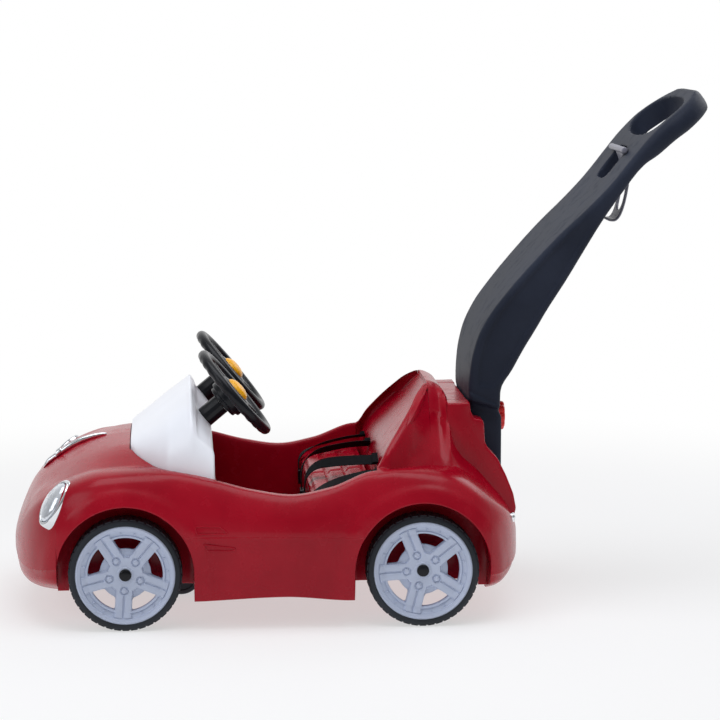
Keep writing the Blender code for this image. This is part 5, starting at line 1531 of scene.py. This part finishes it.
def build_handle():
    long = LOOP_END - LOOP_BAR - HOLE_START
    hole = round_hole(0.0, long, LOOP_HALF - LOOP_BAR - 0.002, 2.5, 0.06)
    slot = round_hole(-0.0415, 0.0290, 0.046, 4.0, 0.08)
    tools = [
        in_loop_plane(hole, HOLE_START, LOOP_MID),
        in_loop_plane(slot, SLOT_MIDDLE, LOOP_MID),
        moved(rod(0.0078, -0.0750, 0.0750), HOOK_X, 0, HOOK_Z),
        moved(rod(0.0072, -0.2, 0.2), PIVOT_X, 0, PIVOT_Z),
        moved(turned(rod(0.0062, 0.55, 0.80), -math.pi / 2, "Z"), 0, 0, BOLT_Z),
    ]
    bm = carved(handle_sweep(), tools, voxel=0.0028, smoothing=3)
    for v in bm.verts:
        v.co = handle_detail(*v.co)
    return mesh_object("handle_moulding", bm, CHARCOAL, "handle", "push_handle", 50)


handle = build_handle()
print("handle:", len(handle.data.polygons), "faces")

# %% [markdown]
# ## Steering wheels
#
# Each wheel is a ring with four spokes round a stepped hub, in black polypropylene, with a
# yellow horn button on top. Ring, spokes and hub are drawn apart and joined by the same remesh,
# which leaves soft fillets where they meet. The back of the ring has finger grips.

# %% Steering wheels
STEER = (0.1965, 0.140, 0.3985)
STEER_TILT = math.radians(50.2)
STEER_RADIUS, STEER_TUBE = 0.085, 0.0103
BUTTON_BORE = 0.0246
SPOKE_START = 0.020
GRIPS = 24
HUB_LINE = [
    (0.0, -0.0300), (0.0290, -0.0300), (0.0305, -0.0285), (0.0305, -0.0235), (0.0352, -0.0225),
    (0.0360, -0.0210), (0.0360, 0.0010), (0.0345, 0.0035), (0.0310, 0.0050), (0.0300, 0.0064),
    (0.0270, 0.0068), (0.0, 0.0068),
]
BORE_LINE = [
    (0.0, -0.05), (0.0072, -0.05), (0.0072, -0.0138), (BUTTON_BORE, -0.0138),
    (BUTTON_BORE, 0.02), (0.0, 0.02),
]
BUTTON_LINE = [
    (0.0, -0.0083), (0.0238, -0.0083), (0.0238, 0.0062), (0.0232, 0.0082), (0.0215, 0.0108),
    (0.0190, 0.0128), (0.0150, 0.0148), (0.0100, 0.0162), (0.0050, 0.0169), (0.0, 0.0170),
]


def on_column(bm, side):
    """Turns a piece drawn along Y, towards the driver, onto a steering column."""
    turned(turned(bm, math.pi / 2, "X"), STEER_TILT, "Y")
    return moved(bm, STEER[0], side * STEER[1], STEER[2])


def grip_ring():
    """The ring as rings of points, with shallow finger grips on its far side."""
    rings = []
    for turn in turns(144):
        ring = []
        for a in np.linspace(0, 2 * math.pi, 20, endpoint=False):
            tube = STEER_TUBE + 0.0006 * math.cos(GRIPS * turn) * max(-math.sin(a), 0)
            r, up = STEER_RADIUS + tube * math.cos(a), 0.92 * tube * math.sin(a)
            ring.append((r * math.sin(turn), up, -r * math.cos(turn)))
        rings.append(ring)
    return loft(rings, closed=True)


def steer_spoke(k):
    """An arm that narrows and dips a little on its way out."""
    rings = []
    for r in np.linspace(SPOKE_START, STEER_RADIUS, 12):
        share = (r - SPOKE_START) / (STEER_RADIUS - SPOKE_START)
        half, top = 0.0110 - 0.0022 * math.sin(math.pi * share), 0.0045 - 0.0012 * share
        low = -0.0062 + 0.0014 * share
        right = [(half, low), (half, top - 0.002), (half - 0.003, top), (0.0022, top)]
        left = [(-z, y) for z, y in right[::-1]]
        rings.append([(r, y, z) for z, y in left[-1:] + right + [(0.0, top - 0.0012)] + left[:-1]])
    return turned(loft(rings), math.pi * (0.25 + 0.5 * k), "Y")


for word, side in SIDES.items():
    solids = [lathe(HUB_LINE, 64)] + [steer_spoke(k) for k in range(4)]
    form = carved(grip_ring(), unions=solids, voxel=0.0011, smoothing=3)
    form = carved(form, [lathe(BORE_LINE, 64)])
    wheel = mesh_object(f"grip_wheel_{word}", on_column(form, side), BLACK, f"steering_{word}",
                        f"steering_wheel_{word}", 42)
    button = on_column(lathe(BUTTON_LINE, 56), side)
    mesh_object(f"horn_dome_{word}", button, YELLOW, f"horn_{word}", f"horn_button_{word}")
print("one steering wheel has", len(wheel.data.polygons), "faces")

# %% [markdown]
# ## Trim that lies on the skin
#
# Lamps, the hood's spear and the door's raised outline follow the body's surface. Each is drawn
# on a flat pattern, and every point of it is dropped onto the skin along one direction, which a
# ray finds. A lamp is a chrome bowl rim with a fluted lens that bulges out of it.

# %% Drop points onto the skin
SKIN_TREE = BVHTree.FromObject(body, bpy.context.evaluated_depsgraph_get())


def on_skin(start, toward):
    """Where a ray from a point, given from the front axle, meets the body moulding."""
    spot = SKIN_TREE.ray_cast(Vector(start) + Vector((AXLE_X, 0, 0)), Vector(toward))[0]
    return spot - Vector((AXLE_X, 0, 0)) if spot else None


LAMP_SPOT = (-0.130, 0.260, 0.231)
LAMP_LONG, LAMP_WIDE = 0.046, 0.026
LAMP_PITCH, LAMP_YAW = math.radians(-52), math.radians(33)
LENS_SHARE, LENS_FORWARD, LENS_RISE = 0.825, 0.0030, 0.0085
FLUTE_PITCH, FLUTE_RISE = 0.0042, 0.00035
RIM_SHARES = (0.93, 1.0, 1.0, 0.985, 0.95, 0.90, 0.865, 0.85, 0.84, 0.80)
RIM_RISES = (-0.006, -0.004, 0.0008, 0.0026, 0.0036, 0.0034, 0.0024, 0.0008, -0.002, -0.006)


def fluted(base):
    """A height with fine ribs across the lens."""
    return lambda u: base + FLUTE_RISE * math.cos(u * 2 * math.pi / FLUTE_PITCH)


def lamp_rings(side, shares, rises, forward=0.0):
    """Ovals that shrink by shares: sunk ones follow the skin, raised ones are nearly flat."""
    spot = Vector((LAMP_SPOT[0], side * LAMP_SPOT[1], LAMP_SPOT[2]))
    turn = Matrix.Rotation(-side * LAMP_YAW, 3, "Z") @ Matrix.Rotation(LAMP_PITCH, 3, "Y")
    along, across, out = (turn.col[k].copy() for k in range(3))

    def skin(u, v):
        """Height of the skin over the lamp's plane at a place on it."""
        hit = on_skin(spot + along * u + across * v + out * 0.08, -out)
        return (hit - spot).dot(out) if hit else 0.0

    rim = [skin(LAMP_LONG * math.cos(a), LAMP_WIDE * math.sin(a)) for a in turns(12)]
    level = sum(rim) / len(rim) + 0.25 * (max(rim) - min(rim))
    rings = []
    for share, rise in zip(shares, rises):
        ring = []
        for a in turns(72):
            u = LAMP_LONG * share * math.cos(a)
            v = LAMP_WIDE * share * math.sin(a) - side * forward
            lift = rise(u) if callable(rise) else rise
            base = skin(u, v)
            if lift > 0:
                base = level + 0.35 * (base - level)
            ring.append(spot + along * u + across * v + out * (base + lift))
        rings.append(ring)
    return rings


for word, side in SIDES.items():
    bm = loft(lamp_rings(side, RIM_SHARES, RIM_RISES), closed=True)
    mesh_object(f"lamp_rim_{word}", bm, CHROME, "car", f"headlight_base_{word}")
    shares, rises = [0.815, LENS_SHARE], [-0.005, 0.0006]
    for a in np.radians(np.linspace(8, 88, 16)):
        shares.append(LENS_SHARE * math.cos(a))
        rises.append(fluted(0.0010 + LENS_RISE * math.sin(a)))
    bm = loft(lamp_rings(side, shares, rises, LENS_FORWARD))
    mesh_object(f"lamp_dome_{word}", bm, LENS, "car", f"headlight_lens_{word}")
print("two headlights on the fenders")

# %% Tail lamps and spear
TAIL_SPOT = (0.6870, 0.171, 0.170)
TAIL_YAW = 0.5
TAIL_LINE = [
    (0.0, -0.004), (0.0088, -0.004), (0.0090, 0.0012), (0.0084, 0.0024), (0.0070, 0.0026),
    (0.0063, 0.0016), (0.0058, 0.0026), (0.0044, 0.0042), (0.0024, 0.0052), (0.0, 0.0056),
]
SPEAR = [
    (-0.1530, 0.0012, 0.0020), (-0.1525, 0.0034, 0.0060), (-0.1505, 0.0050, 0.0090),
    (-0.1470, 0.0062, 0.0112), (-0.1430, 0.0065, 0.0120), (-0.1310, 0.0065, 0.0120),
    (-0.1302, 0.0068, 0.0126), (-0.1292, 0.0088, 0.0158), (-0.1280, 0.0090, 0.0160),
    (-0.1220, 0.0090, 0.0160), (-0.1208, 0.0087, 0.0155), (-0.1196, 0.0062, 0.0108),
    (-0.1180, 0.0058, 0.0120), (-0.1100, 0.0056, 0.0130), (-0.1000, 0.0053, 0.0125),
    (-0.0800, 0.0046, 0.0110), (-0.0600, 0.0040, 0.0088), (-0.0450, 0.0032, 0.0068),
    (-0.0380, 0.0025, 0.0052), (-0.0362, 0.0016, 0.0034),
]


def build_tail_lamps():
    for word, side in SIDES.items():
        out = Vector((math.cos(TAIL_YAW), side * math.sin(TAIL_YAW), 0.0))
        spot = Vector((TAIL_SPOT[0], side * TAIL_SPOT[1], TAIL_SPOT[2]))
        hit = on_skin(spot + out * 0.06, -out) or spot
        bm = lathe(TAIL_LINE, 40)
        turn = Vector((0, 1, 0)).rotation_difference(out).to_matrix()
        bmesh.ops.rotate(bm, matrix=turn, verts=bm.verts)
        mesh_object(f"tail_lamp_{word}", moved(bm, *hit), CHROME, "car", f"tail_light_{word}")


def build_spear():
    """A slim chrome ornament down the middle of the hood: a barrel, a collar and a blade."""
    rings = []
    for x, half, thick in SPEAR:
        foot = on_skin((x, 0.0, 0.6), (0, 0, -1)).z - 0.0008
        rings.append([(x, half * math.cos(a), foot + thick * (0.5 + 0.5 * math.sin(a)))
                      for a in np.linspace(0, 2 * math.pi, 28, endpoint=False)])
    mesh_object("hood_ornament", loft(rings), CHROME, "car", "hood_spear")


build_tail_lamps()
build_spear()
print("tail lamps and hood spear placed")

# %% [markdown]
# ## Raised outlines on the doors
#
# Each door has two small raised outlines, the moulded stand-ins of a latch and a vent. They are
# thin ribs with a round back, laid along a closed path on the skin.

# %% Door outlines
DOOR_OUTLINES = [
    [(0.1220, 0.1881), (0.1653, 0.1874), (0.1809, 0.1745), (0.1253, 0.1745)],
    [(0.1356, 0.1560), (0.1928, 0.1481), (0.1885, 0.1437), (0.1424, 0.1444)],
]
RIB_HALF, RIB_RISE = 0.0014, 0.0013


def closed_path(corners, soft):
    """A closed outline with rounded corners."""
    knots = [np.array(corner) for corner in corners]
    return [spot for i, here in enumerate(knots)
            for spot in bend(knots[i - 1], here, knots[(i + 1) % len(knots)], soft, 0.45, 6)]


def door_rib(corners, side):
    """A thin rib with a round back, laid along a closed path on the skin."""
    path = closed_path(corners, 0.004)
    rings = []
    for i, (x, z) in enumerate(path):
        along = path[(i + 1) % len(path)] - path[i - 1]
        nx, nz = -along[1] / np.hypot(*along), along[0] / np.hypot(*along)
        y = on_skin((x, side * 0.5, z), (0, -side, 0)).y
        ring = []
        for a in np.radians(np.linspace(0, 360, 8, endpoint=False)):
            wide, high = RIB_HALF * math.cos(a), RIB_RISE * math.sin(a)
            ring.append((x + nx * wide, y + side * high, z + nz * wide))
        rings.append(ring)
    return loft(rings, closed=True)


for word, side in SIDES.items():
    bm = merged(*[door_rib(corners, side) for corners in DOOR_OUTLINES])
    mesh_object(f"door_outline_{word}", bm, RED, "car")
print("door outlines on both sides")

# %% [markdown]
# ## Knob, bag hook and swivel wheel
#
# The red knob clamps the handle: nine flutes round its edge give fingers a hold. The bag hook is
# a flat grey strap of plastic that hangs through the handle by its round head, with an oval
# window to save weight. The small wheel under the front is turned on a lathe.

# %% Knob
KNOB_RADIUS, FLUTES, FLUTE_DEPTH = 0.027, 9, 0.085
KNOB_LINE = [
    (0.0, 0.780), (0.0008, 0.900), (0.0022, 0.985), (0.0045, 1.0), (0.0105, 1.0),
    (0.0130, 0.985), (0.0145, 0.950), (0.0155, 0.880), (0.0155, 0.560), (0.0148, 0.520),
    (0.0140, 0.500), (0.0140, 0.050),
]


def build_knob():
    rings = []
    for x, share in KNOB_LINE:
        ring = []
        for a in np.linspace(0, 2 * math.pi, 144, endpoint=False):
            dip = (0.5 + 0.5 * math.cos(FLUTES * a)) ** 2 * smooth(share, 0.55, 0.95)
            r = KNOB_RADIUS * share * (1 - FLUTE_DEPTH * dip)
            ring.append((LEG_REAR + 0.0003 + x, r * math.cos(a), BOLT_Z + r * math.sin(a)))
        rings.append(ring)
    mesh_object("clamp_knob", loft(rings), KNOB_RED, "knob", "handle_knob", 35)


build_knob()
print("knob with", FLUTES, "flutes")

# %% Bag hook
HOOK_LINE = [
    (0.0, 0.002), (0.0040, -0.008), (0.0085, -0.020), (0.0118, -0.033), (0.0138, -0.046),
    (0.0132, -0.060), (0.0112, -0.074), (0.0085, -0.088), (0.0052, -0.102), (0.0015, -0.114),
    (-0.0020, -0.122), (-0.0060, -0.1275), (-0.0110, -0.1305), (-0.0165, -0.1305),
    (-0.0215, -0.1290), (-0.0260, -0.1265),
]
HOOK_WIDTHS = curve((0.0, 0.034), (0.02, 0.034), (0.06, 0.0385), (0.10, 0.040), (0.13, 0.037),
                    (0.15, 0.033), (0.165, 0.030))
HOOK_HALF_THICK, HOOK_EDGE = 0.0022, 0.0016
HEAD_LINE = [(0.0, -0.0715), (0.0045, -0.0715), (0.0058, -0.0702), (0.0058, 0.0702),
             (0.0045, 0.0715), (0.0, 0.0715)]


def build_hook():
    read, length = path_reader(HOOK_LINE, 0.001)
    rings = []
    for s in np.linspace(0, length, 60):
        x, z, nx, nz = read(s)
        half = HOOK_WIDTHS(s)
        top = [(half - 0.0008, HOOK_EDGE), (half - 0.003, HOOK_HALF_THICK), (0.0, HOOK_HALF_THICK),
               (0.003 - half, HOOK_HALF_THICK), (0.0008 - half, HOOK_EDGE)]
        line = [(half, 0.0)] + top + [(-half, 0.0)] + [(v, -t) for v, t in top[::-1]]
        rings.append([(x + nx * t, v, z + nz * t) for v, t in line])
    window = turned(round_hole(-0.025, 0.025, 0.026, 2.6, 0.05), math.pi / 2, "Y")
    bm = carved(loft(rings), [moved(window, 0.008, 0, -0.088)], [lathe(HEAD_LINE, 24)], 0.0012, 2)
    bm = moved(bm, HOOK_X, 0, HOOK_Z)
    mesh_object("bag_strap_hook", bm, HOOK_GREY, "hook", "bag_hook", 50)


build_hook()
print("bag hook hangs in its slot")

# %% Small wheel under the front
ROLLER_LINE = [
    (0.0034, -0.0128), (0.0120, -0.0128), (0.0130, -0.0108), (0.0290, -0.0108), (0.0300, -0.0128),
    (0.0345, -0.0128), (0.0368, -0.0118), (0.0378, -0.0098), (0.0380, -0.0060), (0.0380, 0.0),
]
roller = middle("caster_wheel")
bm = lathe(ROLLER_LINE + [(r, -y) for r, y in ROLLER_LINE[-2::-1]], 64, closed=True)
bm = moved(bm, roller.x - AXLE_X, roller.y, roller.z)
mesh_object("front_roller", bm, TYRE, "caster_roller", "caster_wheel")
print("roller turned")

# %% [markdown]
# ## Lap belts
#
# Webbing is woven flat, so a strap is a thin ribbon with soft edges that follows its path. It is
# stiff enough to stand off the pads: it comes out at the foot of the seat back, arches forward
# and hangs down over the bench's front edge. Its UV map runs along the strap in metres, for the
# weave. The buckles and tongues are moulded blocks with soft edges.

# %% Belts
STRAP_HALF, STRAP_THICK, STRAP_ROWS = 0.0125, 0.0016, 90
STRAP_SECTION = [(-1.0, 0.5), (-0.96, 0.0), (-0.5, 0.0), (0.0, 0.0), (0.5, 0.0), (0.96, 0.0),
                 (1.0, 0.5), (0.96, 1.0), (0.5, 1.0), (0.0, 1.0), (-0.5, 1.0), (-0.96, 1.0)]
STRAPS = {  # kind: place across the car, lean towards its far end, twist and side view
    "inner": (0.060, 0.030, math.radians(34), [
        (0.3272, 0.1838), (0.3262, 0.2050), (0.3275, 0.2210), (0.3330, 0.2345), (0.3430, 0.2455),
        (0.3594, 0.2530), (0.3820, 0.2575), (0.4072, 0.2605), (0.4330, 0.2625), (0.4580, 0.2630)]),
    "outer": (0.205, -0.004, math.radians(20), [
        (0.3290, 0.1955), (0.3285, 0.2080), (0.3315, 0.2190), (0.3385, 0.2275), (0.3520, 0.2355),
        (0.3720, 0.2430), (0.3971, 0.2500), (0.4250, 0.2560), (0.4560, 0.2600)]),
}


def build_strap(word, side, kind):
    out, lean, turn, points = STRAPS[kind]
    read, length = path_reader(points, 0.0015)
    stations = np.linspace(0, length, STRAP_ROWS)
    rings = []
    for s in stations:
        x, z, nx, nz = read(s)
        y = side * out + side * lean * smooth(s / length, 0.25, 1.0)
        twist = -side * turn * smooth(s / length, 0.18, 0.55)
        flat, lift = math.cos(twist), math.sin(twist)
        thick = STRAP_THICK * (1 + 3.5 * smooth(s / length, 0.93, 0.95))
        ring = []
        for v, t in STRAP_SECTION:
            up = STRAP_HALF * v * lift + thick * t * flat
            ring.append((x + nx * up, y + STRAP_HALF * v * flat - thick * t * lift, z + nz * up))
        rings.append(ring)
    bm = loft(rings)
    layer = bm.loops.layers.uv.new("strap")
    for face in bm.faces:
        for corner in face.loops:
            row = corner.vert.index // len(STRAP_SECTION)
            corner[layer].uv = (stations[row], corner.vert.co.y - side * out)
    mesh_object(f"strap_{word}_{kind}", bm, WEB, "car", f"belt_{word}_{kind}")


def soft_fitting(name, node, press):
    """A moulded fitting in its packed place, with rounded edges and a pressed-in middle."""
    low, high = (corner - Vector((AXLE_X, 0, 0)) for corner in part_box(node))
    bm = block(low, high, 0.0014)
    bmesh.ops.subdivide_edges(bm, edges=bm.edges, cuts=5, use_grid_fill=True)
    mid, size = (low + high) / 2, (high - low) / 2
    for v in bm.verts:
        u = abs(v.co.y - mid.y) / size.y
        w = abs(v.co.z - (mid.z + press * size.z)) / size.z
        if v.co.x < mid.x and u < 0.7 and w < 0.34:
            v.co.x += 0.0008
    bmesh.ops.recalc_face_normals(bm, faces=bm.faces)
    mesh_object(name, bm, BLACK, "car", node)


for word, side in SIDES.items():
    for kind in STRAPS:
        build_strap(word, side, kind)
    soft_fitting(f"belt_buckle_{word}", f"buckle_{word}", -0.2)
    soft_fitting(f"belt_tongue_{word}", f"tongue_{word}", 0.3)
print("four straps, two buckles and two tongues")

# %% [markdown]
# ## Floor, light and camera
#
# The car stands on a pale floor that fades into a white surround, so only its soft shadow shows.
# The light is a plain studio: a wide panel overhead, a softer one to the left, a small one behind
# and the surround, which is white behind the car and dimmer behind the camera. That keeps the
# red deep where it faces us and gives the chrome something dark to mirror.

# %% Floor
FLOOR_HALF = 6.0


def floor_finish():
    """Lit paint near the car, which fades into plain white light further out."""
    look = Finish("pale_floor", Roughness=0.9)
    spot = look.node("ShaderNodeTexCoord", output="Object")
    reach = look.node("ShaderNodeVectorMath", {0: spot}, output="Value", operation="LENGTH")
    look.vary("Base Color", look.blend(look.noise(3.0), (0.93, 0.93, 0.94), (0.95, 0.95, 0.955)))
    white = look.node("ShaderNodeEmission", {"Color": (1, 1, 1, 1), "Strength": 1.0})
    fade = look.ramp(reach, 0.9, 2.2) * 0.45 + 0.55
    lit = Wire(look, look.shader.outputs[0])
    mixed = look.node("ShaderNodeMixShader", {"Fac": fade, 1: lit, 2: white})
    look.feed(look.tree.nodes["Material Output"].inputs["Surface"], mixed)
    return look.material


bm = bmesh.new()
bmesh.ops.create_grid(bm, x_segments=8, y_segments=8, size=FLOOR_HALF)
floor = loose(bm, "floor")
floor.data.materials.append(floor_finish())
floor.location.z = -0.0004
print("floor laid,", 2 * FLOOR_HALF, "m wide")

# %% Surround and lamps


def build_world():
    """White to the camera and behind the car, dimmer behind the camera."""
    world = bpy.data.worlds.new("studio")
    bpy.context.scene.world = world
    world.use_nodes = True
    tree = Tree(world.node_tree)
    spot = tree.node("ShaderNodeTexCoord", output="Generated")
    split = tree.node("ShaderNodeSeparateXYZ", {0: spot})
    away = split.out("Y")
    room = tree.ramp(away, -0.35, 0.75, 0.21, 0.60).math(
        "MAXIMUM", tree.ramp(split.out("Z"), 0.05, 0.9, 0.0, 0.50))
    path = tree.node("ShaderNodeLightPath")
    seen = path.out("Is Camera Ray").math("MAXIMUM", path.out("Is Transmission Ray"))
    mirrored = path.out("Is Glossy Ray") * tree.ramp(away, 0.30, 0.95)
    feeds = {"Factor": seen.math("MAXIMUM", mirrored), "A": room, "B": 1.0}
    back = world.node_tree.nodes["Background"]
    tree.feed(back.inputs["Strength"], tree.node("ShaderNodeMix", feeds))
    back.inputs["Color"].default_value = (1, 1, 1, 1)


def placed(name, data, place, toward):
    """An object that looks along a direction."""
    holder = bpy.data.objects.new(name, data)
    holder.location = place
    holder.rotation_euler = toward.to_track_quat("-Z", "Y").to_euler()
    bpy.context.scene.collection.objects.link(holder)
    return holder


def lamp(name, place, aim, size, power):
    light = bpy.data.lights.new(name, "AREA")
    light.shape = "RECTANGLE"
    light.size, light.size_y = size
    light.energy = power
    light.color = (0.93, 0.95, 1.0)
    placed(name, light, place, Vector(aim) - Vector(place))


build_world()
lamp("overhead_panel", (-0.1, -0.5, 2.5), (0.05, 0, 0.3), (2.6, 1.6), 34)
lamp("left_panel", (-2.4, -1.7, 1.6), (0, 0, 0.3), (1.6, 1.6), 16)
lamp("rear_panel", (1.9, 1.8, 1.9), (0.2, 0, 0.4), (1.4, 1.4), 10)
print("surround and three lamps lit")

# %% Camera
VIEW_AZIMUTH, VIEW_ELEVATION = math.radians(-4.215), math.radians(7.834)
VIEW_DISTANCE = 4.806
VIEW_TARGET = Vector((0.00215, 0.0, 0.435))
lens = bpy.data.cameras.new("camera")
lens.sensor_width, lens.lens = 36.0, 129.95
level = math.cos(VIEW_ELEVATION)
back = Vector((math.sin(VIEW_AZIMUTH) * level, -math.cos(VIEW_AZIMUTH) * level,
               math.sin(VIEW_ELEVATION)))
bpy.context.scene.camera = placed("camera", lens, VIEW_TARGET + VIEW_DISTANCE * back, -back)
bpy.context.scene.view_settings.view_transform = "Standard"
print("camera set at the photographer's place")
